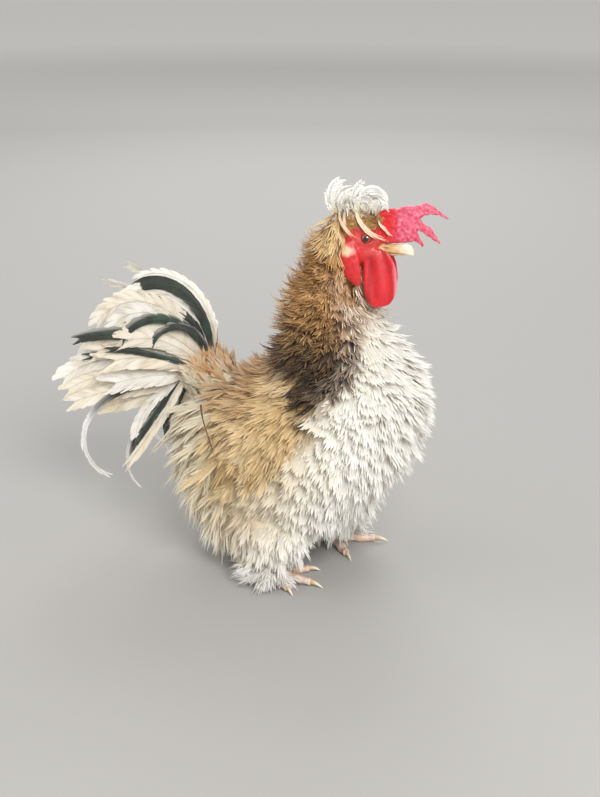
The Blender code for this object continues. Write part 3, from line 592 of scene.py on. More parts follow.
# Borders of the coat's colours: height and X of the upright ones, X and height of the low one.
CAPE_FRONT = np.array(
    (
        (140, 49), (153, 44), (165, 43), (181, 54), (200, 54),
        (212, 50), (222, 47), (235, 46), (250, 42), (300, 36),
    ),
    float,
)
CAPE_LOW = np.array(((-80, 190), (-30, 186), (0, 181), (15, 173), (30, 160), (42, 150), (120, 150)), float)
GOLD_FRONT = np.array(((40, -60), (85, -20), (91, -12), (122, 25), (153, 42), (165, 46), (200, 46)), float)
GOLD_REAR = np.array(((40, -25), (95, -30), (115, -37), (156, -51), (185, -46), (200, -40)), float)


def region_shares(p):
    """How far points lie in the brown cape and in the gold of back and wings."""
    x = p[..., 0] + 5 * noise(p, 16, 3)
    z = p[..., 2] + 5 * noise(p, 16, 4)
    behind_front = smooth(3, -3, x - np.interp(z, *CAPE_FRONT.T))
    cape = behind_front * smooth(-4, 4, z - np.interp(x, *CAPE_LOW.T))
    gold = smooth(6, -6, x - np.interp(z, *GOLD_FRONT.T)) * smooth(-8, 8, x - np.interp(z, *GOLD_REAR.T))
    return cape, gold * smooth(76, 104, z)


def coat_colours(p):
    """Colour of the coat at its roots and at its tips; the roots are darker, partly the feathers' own
    colour and partly painted shade between the feathers.
    """
    cape, gold = region_shares(p)
    x, z = p[..., 0], p[..., 2]
    broad = 0.5 + 0.5 * noise(p, 22, 8)
    fine = 0.5 + 0.5 * noise(p, 7, 9)
    chest = smooth(22, 72, x - 0.6 * (z - 110) * (z < 110))
    base = blend(blend(SAND, CREAM, smooth(-16, 46, x - 0.5 * (z - 110))), WHITE,
                 np.clip(chest + 0.2 * broad - 0.05, 0, 1))
    rear = smooth(-30, -50, x) * smooth(30, 60, z)
    base = blend(base, blend(FLUFF, CREAM, np.clip(fine * 0.6 + smooth(84, 54, z) * 0.8, 0, 1)), rear)
    # Painted shade: the roots are a little darker and warmer than the tips, standing for the shade between
    # the feathers.
    root = base * np.array((0.95, 0.92, 0.87))
    tip = base
    gold_root = blend(GOLD_DARK, GOLD, 0.2 + 0.6 * fine)
    gold_tip = blend(GOLD, GOLD_PALE, broad * 0.6)
    back = smooth(138, 156, z + 4 * noise(p, 8, 12)) * smooth(4, -14, x)
    gold_root = blend(gold_root, BACK_ROOT, back * 0.85)
    gold_tip = blend(gold_tip, BACK_TIP, back * (0.6 + 0.4 * fine))
    root, tip = blend(root, gold_root, gold), blend(tip, gold_tip, gold)
    high = smooth(196, 238, z)
    dark = smooth(214, 184, z) * smooth(80, 54, x + 0.4 * (200 - z))
    near_front = smooth(18, 4, np.interp(z, *CAPE_FRONT.T) - x)
    cape_root = blend(blend(BROWN_DARK, BROWN, high), CHARCOAL, dark)
    cape_tip = blend(blend(BROWN, BROWN_PALE, 0.15 + 0.6 * fine),
                     blend(CHARCOAL, BROWN_DARK, fine * fine), dark * 0.95)
    cape_tip = blend(cape_tip, TAUPE, near_front * (0.5 + 0.5 * broad) * smooth(166, 182, z))
    return blend(root, cape_root, cape), blend(tip, cape_tip, cape)


# Feathers


def shafts(root, lie, normal, length, lift, curl, sway, late, steps=14):
    """Shaft lines and the blades' normals: (n, steps + 1, 3) each."""
    t = (np.arange(steps) + 0.5) / steps
    angle = lift[:, None] + curl[:, None] * t ** late
    yaw = sway[:, None] * t
    lie, normal = lie[:, None], normal[:, None]
    side = np.cross(normal, lie)
    ca, sa = np.cos(angle)[..., None], np.sin(angle)[..., None]
    cy, sy = np.cos(yaw)[..., None], np.sin(yaw)[..., None]
    ahead = cy * (ca * lie + sa * normal) + sy * side
    reach = np.cumsum(ahead, axis=1) * (length / steps)[:, None, None]
    line = np.concatenate([root[:, None], root[:, None] + reach], 1)
    blades = ca * normal - sa * lie
    blades = np.concatenate([blades[:, :1], (blades[:, 1:] + blades[:, :-1]) / 2, blades[:, -1:]], 1)
    return line, unit(blades)


def at_shares(lines, share):
    """Values along lines (n, m, 3) at shares (n, ...) of their length."""
    m = lines.shape[1] - 1
    s = np.clip(share, 0, 1) * m
    k = np.minimum(s.astype(int), m - 1)
    f = (s - k)[..., None]
    rows = np.arange(len(lines)).reshape((-1,) + (1,) * (share.ndim - 1))
    return lines[rows, k] * (1 - f) + lines[rows, k + 1] * f


def strand_cells(rings):
    """Triangles of one strand, whose rings have three points each and whose last is its tip."""
    last = 3 * (rings - 2)
    cells = []
    for k in range(rings - 2):
        for i in range(3):
            a, b = 3 * k + i, 3 * k + (i + 1) % 3
            cells += [(a, b, b + 3), (a, b + 3, a + 3)]
    cells += [(last + i, last + (i + 1) % 3, last + 3) for i in range(3)]
    cells.append((0, 2, 1))
    return np.array(cells)


def on_strand(values):
    """Values at a strand's rings as values at its points."""
    return np.concatenate([np.repeat(values[..., :-1], 3, axis=-1), values[..., -1:]], axis=-1)


def tufts(rng, line, blades, width, root_colour, tip_colour, uv, strands=9, rings=4, spread=1.0,
          wide=1.5, ragged=0.25, frizz=0.12, cup=0.15, start=0.4, edge=None, vary=0.12, thin=0.3):
    """Feathers as bundles of flat tapered strands that part from a common shaft."""
    n = len(line)
    c = np.linspace(-1, 1, strands)[None] + rng.uniform(-0.6, 0.6, (n, strands)) / strands
    begin = rng.uniform(0, start, (n, strands)) * (0.3 + 0.7 * np.abs(c))
    end = 1 - ragged * np.abs(c) ** 1.5 - rng.uniform(0, 0.16, (n, strands))
    s = np.array((0, 0.4, 0.76, 1.0) if rings == 4 else np.linspace(0, 1, rings))
    t = begin[..., None] + (end - begin)[..., None] * s
    centre = at_shares(line, t)
    up = unit(at_shares(blades, t))
    ahead = unit(np.gradient(centre, axis=2))
    side = unit(np.cross(ahead, up))
    up = np.cross(side, ahead)
    half = width[:, None, None] / 2
    out = c[..., None] * half * spread * s**0.8
    centre = centre + out[..., None] * side - (cup * out**2 / np.maximum(half, 0.1))[..., None] * up
    stray = rng.normal(0, 1, (n, strands, 2)) * frizz
    centre += (stray[..., :1] * half * s**2)[..., None] * side + (stray[..., 1:] * half * s**2)[...,
                                                                                                None] * up
    ahead = unit(np.gradient(centre, axis=2))
    side = unit(np.cross(ahead, up))
    up = np.cross(side, ahead)
    taper = np.interp(s, (0, 0.35, 0.75, 0.95), (0.55, 1.0, 0.75, 0.3))
    w = (width[:, None, None] / strands * wide * taper)[:, :, : rings - 1, None]
    body, up0, side0 = centre[:, :, :-1], up[:, :, :-1], side[:, :, :-1]
    ring = np.stack([body + side0 * w / 2, body - side0 * w / 2, body + up0 * w * thin], axis=3)
    points = np.concatenate([ring.reshape(n, strands, -1, 3), centre[:, :, -1:]], axis=2)
    per = points.shape[2]
    cells = strand_cells(rings)
    offset = np.arange(n * strands)[:, None, None] * per
    faces = (cells[None] + offset).reshape(-1, 3)
    along = on_strand(t)
    mix = smooth(0.1, 0.9, along)[..., None]
    colour = root_colour[:, None, None] * (1 - mix) + tip_colour[:, None, None] * mix
    if edge is not None:
        share = smooth(0.45, 0.9, np.abs(c))[..., None, None] * smooth(0.2, 0.6, along)[..., None]
        colour = colour * (1 - share) + edge[:, None, None] * share
    shade = 1 + vary * rng.normal(0, 1, (n, strands, 1, 1)) * 0.7 + vary * rng.normal(0, 1,
                                                                                      (n, 1, 1, 1)) * 0.7
    colour = np.clip(colour * shade, 0, 1)
    where = np.empty(along.shape + (2,))
    where[..., 0] = uv[:, None, None, 0] + PATCH * (c[..., None] * 0.5)
    where[..., 1] = uv[:, None, None, 1] + PATCH * (along - 0.5)
    return points.reshape(-1, 3), faces, colour.reshape(-1, 3), where.reshape(-1, 2), (per, len(cells))


def cut_up(part):
    """A batch of like strips cut into batches that each stay under the most triangles."""
    points, faces, colours, uv, (size_p, size_f) = part
    strips = len(faces) // size_f
    blocks = math.ceil(len(faces) / MOST_TRIANGLES)
    for b in range(blocks):
        first, last = strips * b // blocks, strips * (b + 1) // blocks
        over = slice(first * size_p, last * size_p)
        yield points[over], faces[first * size_f : last * size_f] - first * size_p, colours[over], uv[over]


def merged(parts):
    """Batches of feathers as one: points, triangles, colours and UV places."""
    points, faces, colours, uv, start = [], [], [], [], 0
    for part in parts:
        points.append(part[0])
        faces.append(part[1] + start)
        colours.append(part[2])
        uv.append(part[3])
        start += len(part[0])
    return np.concatenate(points), np.concatenate(faces), np.concatenate(colours), np.concatenate(uv)


def coat_piece(name, batches, material, replaced=()):
    """Rides and names feathers as pieces, each of them under the most triangles."""
    groups = [[]]
    for batch in batches:
        for part in cut_up(batch):
            if groups[-1] and sum(len(p[1]) for p in groups[-1]) + len(part[1]) > MOST_TRIANGLES:
                groups.append([])
            groups[-1].append(part)
    for k, group in enumerate(groups):
        points, faces, colours, uv = merged(group)
        points[:, 2] = np.maximum(points[:, 2], LEAST_HEIGHT)
        title = name if len(groups) == 1 else f"{name}_{k + 1}"
        obj = mesh_object(title, points, faces, material, colours, uv)
        obj.data.set_sharp_from_angle(angle=SHARP_TURN)
        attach(obj, "root")
        if replaced:
            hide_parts(*replaced)


def surface_roots(rng, table, z_low, z_high, spacing, wanted):
    """Staggered places over a sliced form, evenly spread, kept where wanted(angle, points)."""
    heights = np.arange(z_low, z_high, 0.5)
    arcs = []
    for angle in (0.2, 1.2, 2.0, 3.0):
        line = slice_point(table, np.full(len(heights), angle), heights)
        arcs.append(np.concatenate([[0], np.cumsum(np.linalg.norm(np.diff(line, axis=0), axis=1))]))
    arc = np.mean(arcs, axis=0)
    rows = np.interp(np.arange(arc[-1], 0, -spacing * 0.87), arc, heights)
    angles, levels = [], []
    for k, z in enumerate(rows):
        back, front, half = through(table, z)
        a, b = (front - back) / 2, half
        girth = math.pi * (3 * (a + b) - math.sqrt((3 * a + b) * (a + 3 * b)))
        count = max(6, round(girth / spacing))
        turn = (np.arange(count) + 0.5 * (k % 2)) / count * 2 * math.pi - math.pi
        angles.append(turn + rng.uniform(-0.3, 0.3, count) * 2 * math.pi / count)
        levels.append(z + rng.uniform(-0.3, 0.3, count) * spacing * 0.6)
    angle = np.concatenate(angles)
    z = np.clip(np.concatenate(levels), z_low, z_high)
    angle = (angle + math.pi) % (2 * math.pi) - math.pi
    point, normal, down = slice_frame(table, angle, z)
    keep = wanted(angle, point, rng)
    angle, z, point, normal, down = angle[keep], z[keep], point[keep], normal[keep], down[keep]
    low, high = table[0, 0], table[-1, 0]
    uv = np.stack([(angle / (2 * math.pi) + 0.5), (z - low) / (high - low)], axis=-1)
    return angle, point, normal, down, uv


def skin_roots(rng, skin, spacing, wanted):
    """Spread places on the head's own skin, kept where wanted(head measures)."""
    h = head_measures(mesh_points(skin))
    normal = head_measures(mesh_normals(skin) + np.array((HEAD_X, 0.0, 0.0)))
    chosen = rng.permutation(np.flatnonzero(wanted(h)))
    cells = np.floor(h[chosen] / spacing).astype(int)
    _, first = np.unique(cells, axis=0, return_index=True)
    chosen = chosen[np.sort(first)]
    point, normal = h[chosen], normal[chosen]
    out = unit(point * np.array((1.0, 1.0, 0.0)) - np.array((4.0, 0.0, 0.0)))
    down = 0.5 * out - UP
    down = unit(down - normal * np.sum(down * normal, axis=1)[:, None])
    uv = np.stack([0.5 + point[:, 1] / 60, 0.5 + point[:, 0] / 60], axis=-1)
    return np.arctan2(point[:, 1], point[:, 0]), point, normal, down, uv


# Skin


def sliced_skin(table, low, high, inset, sides=72, rows=70, front=None):
    """Closed skin of a sliced form between two heights, cut flat at front if that is given."""
    z = np.linspace(low, high, rows)
    turn = circle(sides)
    point, normal, _ = slice_frame(table, turn[None], z[:, None])
    wrapped = (turn[None] + math.pi) % (2 * math.pi) - math.pi
    point = point - inset(wrapped, z[:, None])[..., None] * normal
    if front is not None:
        point[..., 0] = np.minimum(point[..., 0], front)
    return loft(point)


def even_inset(depth):
    """An inset of one depth all over a form."""
    return lambda angle, z: depth + 0 * angle * z


def back_inset(angle, z):
    """Depth of the skin under the solids: a whole coat's depth along the bare back."""
    depth = np.interp(z, (38, 60, 180, 235, 250), (2, 3.5, 3, 2, 1.2))
    ridge = smooth(1.7, 2.5, np.abs(angle)) * smooth(132, 150, z) * smooth(206, 186, z)
    return depth + 6.5 * ridge


def body_shapes():
    """Closed forms that make up the feathered body, a coat's depth inside it."""
    shapes = [sliced_skin(BODY_SLICES, 38.5, 249.5, back_inset)]
    nape = sliced_skin(NAPE_SLICES, 246.2, 285.5, even_inset(1.0), 48, 24)
    shapes.append((turned(nape[0]), nape[1]))
    for x, y in FEET.values():
        rows = [(z, x + dx - a + 2, x + dx + a - 2, b - 2 - 7 * (z > 60)) for z, dx, _, a, b in THIGH]
        table = np.array(rows, float)
        form = sliced_skin(table, 27, 65, even_inset(0.0), 40, 24)
        form[0][:, 1] += y
        shapes.append(form)
    rump = [RUMP_FROM, (RUMP_FROM + RUMP_END) / 2, RUMP_END + 12 * TAIL_AXIS]
    shapes.append(tube(rump, (23, 20, 14), 32))
    return shapes


def wing_frame(u, v, side):
    """Places on the folded wing: u runs back along it, v up across it."""
    x = WING_AT[0] - u * math.cos(WING_DROP) - v * math.sin(WING_DROP) * 0.6
    z = WING_AT[1] - u * math.sin(WING_DROP) + v * math.cos(WING_DROP)
    c = np.clip(slice_share(through(BODY_SLICES, z), x), -0.999, 0.999)
    return slice_frame(BODY_SLICES, side * np.arccos(c), z)


def wing_shape(side):
    """Pad of the folded wing, which lifts the coat over it."""
    rings = []
    turn = circle(40)
    for share, thick in ((0.98, -6), (1.0, -1), (0.86, 2.2), (0.6, 3.4), (0.3, 3.9)):
        along, across = WING_HALF[0] * share * np.cos(turn), WING_HALF[1] * share * np.sin(turn)
        point, normal, _ = wing_frame(along, across, side)
        rings.append(point + thick * normal)
    rings = np.array(rings)
    return loft(rings[:, ::-1] if side > 0 else rings)


COMB_OUTLINE = (
    (14, 275), (15, 282), (19, 286.5), (25, 289), (31, 289.5), (36, 291.5), (43, 291.8), (50, 294),
    (57, 290.5), (66.5, 283.2), (58.5, 285.8), (49.8, 285.2), (48, 281.5), (55, 277), (63, 267.8),
    (54.5, 271.2), (46.5, 275), (46.5, 272), (51.4, 264), (45, 267.2), (40.5, 266.0), (35, 265.2),
    (29, 264.2),
    (22, 263.6), (14, 265),
)


def comb_bend(x, z):
    """How far the comb leans off the head's middle: its points flop to either side."""
    reach = np.maximum(x - 26, 0) / 40
    return reach * reach * (5 + (z - 284) * 0.55)


def comb_shape():
    """Single comb flopped forward over the beak: a plate that thins towards its edge."""
    count = len(COMB_OUTLINE)
    closed = np.array(COMB_OUTLINE + COMB_OUTLINE[:2], float)
    line = dense(np.concatenate([np.array(COMB_OUTLINE[-1:], float), closed]), (count + 2) * 5 + 1)[5:-5]
    line = line[:-1]
    tangent = unit(np.roll(line, -1, 0) - np.roll(line, 1, 0))
    inward = np.stack([tangent[:, 1], -tangent[:, 0]], -1)
    rings = []
    for offset, depth in ((-1, 1.6), (-0.75, 0.7), (0, 0.0), (0.75, 0.7), (1, 1.6)):
        flat = line + inward * depth * 0.8
        half = np.clip(3.3 - 0.036 * np.maximum(flat[:, 0] - 18, 0), 1.3, 3.3)
        aside = offset * half + comb_bend(flat[:, 0], flat[:, 1])
        rings.append(np.stack([flat[:, 0], aside, flat[:, 1]], -1))
    rings = np.array(rings)
    n = len(line)
    points = rings.reshape(-1, 3)
    k, i = np.meshgrid(np.arange(4), np.arange(n), indexing="ij")
    a, b = k * n + i, k * n + (i + 1) % n
    faces = band_faces(a, b, n)
    fill = np.array(tessellate_polygon([[Vector((p[0], p[2], 0)) for p in rings[0]]]))
    faces += [fill, 4 * n + fill[:, ::-1]]
    return turned(points), np.concatenate(faces)


def wattle_shape(side):
    """Long hanging wattle with lengthwise folds and a thicker front rim."""
    table = np.array(
        (
            (219.8, 22, 3.2, 2.0, 11.4), (222, 22, 7, 3.4, 11.4), (227, 22.4, 10.4, 4.8, 11.2),
            (234, 22.6, 12.2, 5.2, 10.6), (242, 22.2, 12.4, 5, 9.8), (250, 21.4, 11.8, 4.6, 9.0),
            (256, 20.5, 9.5, 4.2, 8.6), (261, 19.5, 6.5, 3.6, 8.2),
        ),
        float,
    )
    if side > 0:
        table[:, 1] -= 5.5
    z = np.linspace(219.8, 261, 44)
    middle, half, thick, out = through(table, z).T[:, :, None]
    turn = circle(56)[None]
    across = np.cos(turn)
    pleats = 0.9 * np.cos(across * 7 + 0.05 * (z[:, None] - 240)) * smooth(222, 232, z)[:, None]
    fold = 1.3 * np.sin(2 * turn + 0.6) + pleats
    depth = thick / 2 * np.sin(turn) * (1 + 0.35 * np.abs(across) ** 3)
    rings = np.stack([middle + half * across, side * (out + fold * 0.8) + depth, z[:, None] + 0 * turn], -1)
    return turned(loft(rings)[0]), loft(rings)[1]


def lobe_shapes(side):
    """The ear's pale disc and the red drop that hangs from it."""
    path = dense([(-2.4, side * 14.4, 266), (0.2, side * 15.8, 258.5), (2.0, side * 16.6, 250.5),
                  (4.6, side * 16.6, 243), (8.2, side * 16.0, 235.6)], 26)
    radii = np.interp(np.linspace(0, 1, 26), (0, 0.15, 0.45, 0.75, 0.93, 1), (5.6, 7.2, 7.4, 6.0, 3.2, 1.2))
    drop = tube(path, radii, 32, (1, 0, 0.3), (1.0, 0.42))
    disc = ball((-0.2, side * 15.4, 261.2), (5.0, 3.0, 5.2))
    return [(turned(drop[0]), drop[1]), (turned(disc[0]), disc[1])]


def lid_shape(side, height, radius, start, stop, out):
    """A fleshy roll that follows part of the eye's rim."""
    x, y, z = EYE_AT
    turn = np.linspace(start, stop, 26)
    path = np.stack([x + 5.0 * np.cos(turn), side * (y + out) + 0 * turn, z + height * np.sin(turn)], -1)
    middle = np.array((x, side * (y + out), z))
    path = path - np.array((0, side, 0)) * (0.06 * (path[:, :1] - middle[0]) ** 2)
    ends = np.sin(np.linspace(0, math.pi, 26)) ** 0.4
    return tube(path, radius * (0.5 + 0.5 * ends), 14, (0, 1, 0))


def head_shapes():
    """Face, lids, cheeks, comb, wattles and ear lobes, to be fused into one skin."""
    shapes = [sliced_skin(HEAD_SLICES, 250.2, 286.6, even_inset(0.0), 72, 40, BEAK_ROOT + 0.6)]
    for side in SIDES.values():
        shapes += [
            ball((3, side * 11.0, 259.5), (8.5, 5.2, 8.0)),
            ball((14.5, side * 7.5, 259.0), (5.5, 4.2, 4.5)),
            ball((11.5, side * 8.0, 276.2), (7.5, 4.6, 3.4)),
            ball((17.5, side * 4.6, 266.0), (4.2, 4.2, 3.6)),
            lid_shape(side, 3.9, 1.25, 0.0, math.pi, 2.35),
            lid_shape(side, 4.1, 1.15, math.pi, 2 * math.pi, 2.15),
        ]
    shapes.append(ball((17.5, 0, 268.5), (4.2, 4.6, 4.6)))
    shapes = [(turned(p), f) for p, f in shapes]
    shapes.append(comb_shape())
    for side in SIDES.values():
        shapes.append(wattle_shape(side))
        shapes += lobe_shapes(side)
    shapes.append(sliced_skin(BODY_SLICES, 236, 249.9, even_inset(1.2), 60, 12))
    return shapes


def toe_paths(name):
    """Each toe of a foot: its name, root, heading and length."""
    x, y = FEET[name]
    for toe, (heading, length) in TOES[name].items():
        a = math.radians(heading)
        ahead = np.array((math.cos(a), math.sin(a), 0))
        yield toe, x, y, ahead, length


def foot_shapes(name):
    """Closed forms of a shank and its toes."""
    x, y = FEET[name]
    shapes = [tube([(x, y, 5), (x, y, 12), (x, y, 20), (x, y, 33)], (6.0, 5.2, 5.2, 6.4), 28)]
    shapes.append(ball((x, y, 4.2), (8.6, 8.2, 5.0), 12, 28))
    for toe, x, y, ahead, length in toe_paths(name):
        thick = 3.1 if toe == "hind" else 3.6
        share = np.linspace(0, 1, 40)
        reach = length * 0.78 * share + 2 * share
        rise = np.interp(share, (0, 0.25, 0.5, 0.75, 1), (1.6, 0.6, 0.5, -0.2, 0.0))
        path = np.array((x, y, 3.4)) + ahead * reach[:, None] + UP * rise[:, None]
        joint = 0.32 * np.cos(share * 3 * 2 * math.pi) + 0.0 * share
        radii = np.interp(share, (0, 0.4, 0.75, 1), (thick + 1.2, thick, thick - 0.2, thick - 1.2)) + joint
        shapes.append(tube(path, radii, 22, np.cross(UP, ahead)))
    return shapes


def scutes(obj, name):
    """Raises overlapping scutes along the tops of the toes and the front of the shank."""
    p = mesh_points(obj)
    n = mesh_normals(obj)
    height = np.zeros(len(p))
    best = np.full(len(p), 1e9)
    for _, x, y, ahead, length in toe_paths(name):
        d = p - np.array((x, y, 3.4))
        along = d @ ahead
        across = np.abs(d @ np.cross(UP, ahead))
        off = np.where((along > -2) & (along < length), across, 1e8)
        saw = (along / 2.3) % 1.0
        band = 0.32 * (1 - saw) * smooth(0.0, 0.12, saw) * smooth(-0.1, 0.5, n[:, 2]) * smooth(4, 8, along)
        pads = 0.12 * noise(p, 1.3, 5) * smooth(0.2, -0.4, n[:, 2])
        nearer = off < best
        height = np.where(nearer, band + pads, height)
        best = np.minimum(best, off)
    x, y = FEET[name]
    shank = smooth(7.5, 10, p[:, 2])
    saw = (p[:, 2] / 2.8) % 1.0
    height = height * (1 - shank) + shank * 0.35 * (1 - saw) * smooth(0, 0.12, saw)
    p = p + n * height[:, None]
    p[:, 2] = np.maximum(p[:, 2], 0.0)
    set_points(obj, p)


def feather_line(x):
    """Height on the head above which feathers grow, at forward measures x."""
    return np.interp(x, (-9, -7.6, -6, -3, 0, 4, 10, 15, 19, 21),
                     (230, 240, 264, 271, 275, 277, 277, 275, 276, 300))


def beyond_neck(p):
    """How far points lie outside the neck, in millimetres."""
    row = through(BODY_SLICES, np.clip(p[:, 2], 40, 249))
    half = row[:, 2]
    reach = np.sqrt(slice_share(row, p[:, 0]) ** 2 + (p[:, 1] / half) ** 2)
    return np.where(p[:, 2] > 249.5, 9.0, (reach - 1) * half)


def bare_throat(h):
    """Which head measures lie on the red throat between the wattles."""
    return (h[:, 0] > 2.5) & (h[:, 2] > 234) & (h[:, 2] < 254)


def comb_share(h):
    """How far head measures lie in the comb."""
    x, z = h[:, 0], h[:, 2]
    front = smooth(18, 20, x) * smooth(266, 267.5, z)
    return np.clip(front + smooth(284, 286, z) * smooth(13, 15, x), 0, 1)


def skin_colours(p):
    """Markings of the skin: the coat's own colours under it, darkened as painted shade and most under the
    cape; red flesh on the head, with painted shade in the wattles' folds and a painted highlight on their
    front rims; pale legs.
    """
    root, _ = coat_colours(p)
    # Painted shade: the skin under the coat is darkened, most under the cape, so the gaps between feathers
    # look shaded.
    colour = root * (0.9 - 0.35 * region_shares(p)[0])[:, None]
    h = head_measures(p)
    x, y, z = h[:, 0], np.abs(h[:, 1]), h[:, 2]
    crown = blend(GOLD_DARK, CROWN_PALE, smooth(284, 288, z))
    colour = blend(colour, crown, smooth(249, 256, z))
    mottled = 0.5 + 0.5 * noise(p, 2.2, 21)
    blotch = 0.5 + 0.5 * noise(p, 6.0, 22)
    flesh = blend(FACE_RED, FACE_PINK, mottled * 0.5)
    flesh = blend(flesh, FACE_DEEP, smooth(0.6, 0.9, blotch) * 0.5)
    wattle = smooth(258, 254, z) * smooth(6, 9, x)
    deep = blend(RED, WATTLE_BRIGHT, blotch * 0.6)
    # Painted highlight along the wattle's front rim.
    rim = smooth(0.8 - 0.2 * smooth(232, 250, z), 0.97, (x - 22.2) / 12.4) * smooth(219, 226, z)
    # Painted shade in the wattle's folds, towards its back.
    deep = blend(deep, WATTLE_FOLD_SHADE, smooth(0.1, 0.9, np.sin((x - 13) * 0.7)) * smooth(22, 12, x) * 0.75)
    deep = blend(deep, WATTLE_RIM_HIGHLIGHT, rim * 0.75)
    flesh = blend(flesh, deep, wattle)
    lobe = smooth(268, 263, z) * smooth(13, 11, x) * smooth(12.5, 14.0, y)
    lobe *= smooth(-9, -7.5, x - np.interp(z, (236, 250, 262), (5, 3, 0)))
    flesh = blend(flesh, blend(RED, LOBE_BRIGHT, mottled * 0.6), lobe)
    from_disc = np.sqrt(((x + 0.2) / 1.3) ** 2 + (z - 261.2) ** 2) + 0.9 * noise(p, 2.4, 29)
    spot = smooth(4.9, 1.6, from_disc) * smooth(13, 15, y)
    flesh = blend(flesh, CREAM_SPOT, spot * 0.95)
    comb = comb_share(h)
    dusty = smooth(26, 36, x + 3 * noise(p, 5, 23))
    pebble = np.clip(0.5 + 0.7 * noise(p, 1.3, 24), 0, 1)
    comb_colour = blend(COMB_RED, blend(COMB_DUSTY, COMB_PINK, pebble * 0.75), dusty)
    flesh = blend(flesh, comb_colour, comb)
    bare = smooth(249, 251, z) * smooth(2, -2, z - feather_line(x) + 1.5 * noise(p, 3, 26)) * (x > -11)
    hanging = wattle * (y < 17) * (x > 8) + lobe * (z > 231)
    outside = (beyond_neck(p) > -0.6) | ((x > 1) & (y > 15))
    face = np.clip(bare + hanging + comb, 0, 1) * (p[:, 2] > 215) * outside
    face = np.maximum(face, bare_throat(h) * smooth(233, 236, p[:, 2]))
    colour = blend(colour, flesh, face)
    low = smooth(30, 24, p[:, 2])
    scale = blend(LEG_PALE, LEG_DARK, 0.5 + 0.5 * noise(p, 3.0, 27))
    return blend(colour, scale, low)


def make_skin():
    """One closed skin: fine where it is bare, coarser under the coat."""
    body = remeshed("skin", body_shapes() + [wing_shape(s) for s in SIDES.values()], 2.2, 6)
    head = remeshed("skin_head", head_shapes(), 0.55, 4)
    p, n = mesh_points(head), mesh_normals(head)
    h = head_measures(p)
    comb = smooth(20, 26, h[:, 0]) * smooth(265, 267, h[:, 2])
    wattle = smooth(258, 252, h[:, 2])
    face = (1 - comb) * (1 - wattle)
    relief = comb * (0.55 * noise(p, 1.9, 31) + 0.25 * noise(p, 0.9, 32))
    relief += wattle * (0.10 * noise(p * np.array((1.6, 1.6, 0.4)), 1.6, 33))
    relief += face * (0.16 * noise(p, 1.1, 34) + 0.2 * noise(p, 3.0, 35))
    set_points(head, p + n * relief[:, None])
    feet = []
    for name in SIDES:
        foot = remeshed(f"skin_foot_{name}", foot_shapes(name), 0.6, 2)
        scutes(foot, name)
        feet.append(foot)
    for other in [head] + feet:
        join = body.modifiers.new("join", "BOOLEAN")
        join.operation = "UNION"
        join.solver = "MANIFOLD"
        join.object = other
        baked(body)
        bpy.data.objects.remove(other)
    body.data.materials.clear()
    body.data.materials.append(FLESH)
    body.data.shade_smooth()
    paint(body.data, skin_colours(mesh_points(body)))
    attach(body, "root")
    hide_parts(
        "torso", "neck", "head", "comb", "wattle_R", "wattle_L", "earlobe_R", "earlobe_L",
        "thigh_R", "thigh_L", "shank_R", "shank_L", "foot_R", "foot_L",
    )
    return body


# Eyes, beak and claws


def rigid(name, shape, material, colours, node):
    """A plain piece that replaces one node."""
    obj = mesh_object(name, shape[0], shape[1], material, colours)
    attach(obj, "root")
    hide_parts(node)
    return obj


def make_eyes():
    """Eyeballs with a pupil, a spoked iris and a bulge in front."""
    for name, side in SIDES.items():
        centre = np.array((EYE_AT[0], side * EYE_AT[1], EYE_AT[2]))
        level = np.linspace(0, math.pi, 60)[1:-1]
        turn = circle(72)
        look = unit(np.array((0.10, side, 0.02)))
        first = unit(np.cross(look, UP))
        second = np.cross(look, first)
        bulge = EYE_RADIUS + 0.35 * np.exp(-((level / 0.45) ** 2))
        round_look = np.cos(turn)[None, :, None] * first + np.sin(turn)[None, :, None] * second
        ring = np.cos(level)[:, None, None] * look + np.sin(level)[:, None, None] * round_look
        back, front = centre - EYE_RADIUS * look, centre + (EYE_RADIUS + 0.35) * look
        points, faces = loft(centre + bulge[:, None, None] * ring, back, front)
        faces = faces[:, ::-1]
        away = np.arccos(np.clip(unit(points - centre) @ look, -1, 1))
        bearing = np.arctan2((points - centre) @ second, (points - centre) @ first)
        spoke = noise(np.stack([bearing * 9, away * 4, 0 * away], -1), 1.0, 41)
        iris = blend(IRIS, IRIS_DARK, 0.5 + 0.5 * spoke)
        iris = blend(iris, IRIS_BRIGHT, smooth(0.42, 0.55, away) * smooth(0.75, 0.6, away) * 0.5)
        colour = blend(PUPIL, iris, smooth(0.36, 0.42, away))
        colour = blend(colour, EYE_RIM, smooth(0.82, 0.95, away))
        rigid(f"eyeball_{name}", (turned(points), faces), EYE, colour, f"eye_{name}")


def beak_half(table, tip, upper):
    """Half of the beak as a smooth horn: rings of the table from its root to its tip."""
    table = np.array(table, float)
    x = np.linspace(table[0, 0], table[-1, 0], 40)
    top, bottom, half = through(table, x).T
    turn = circle(48)
    c, s = np.cos(turn)[None], np.sin(turn)[None]
    top, bottom, half = top[:, None], bottom[:, None], half[:, None]
    arch = (top - bottom) * np.abs(s) ** 0.9
    if upper:
        height = np.where(s > 0, bottom + arch, bottom - 0.25 * np.abs(s))
        width = half * np.sign(c) * np.abs(c) ** 0.75
    else:
        height = np.where(s < 0, top - arch, top + 0.15 * np.abs(s))
        width = half * np.sign(c) * np.abs(c) ** 0.7
    rings = np.stack([x[:, None] + 0 * turn, width, height], -1)
    return loft(rings, tip)


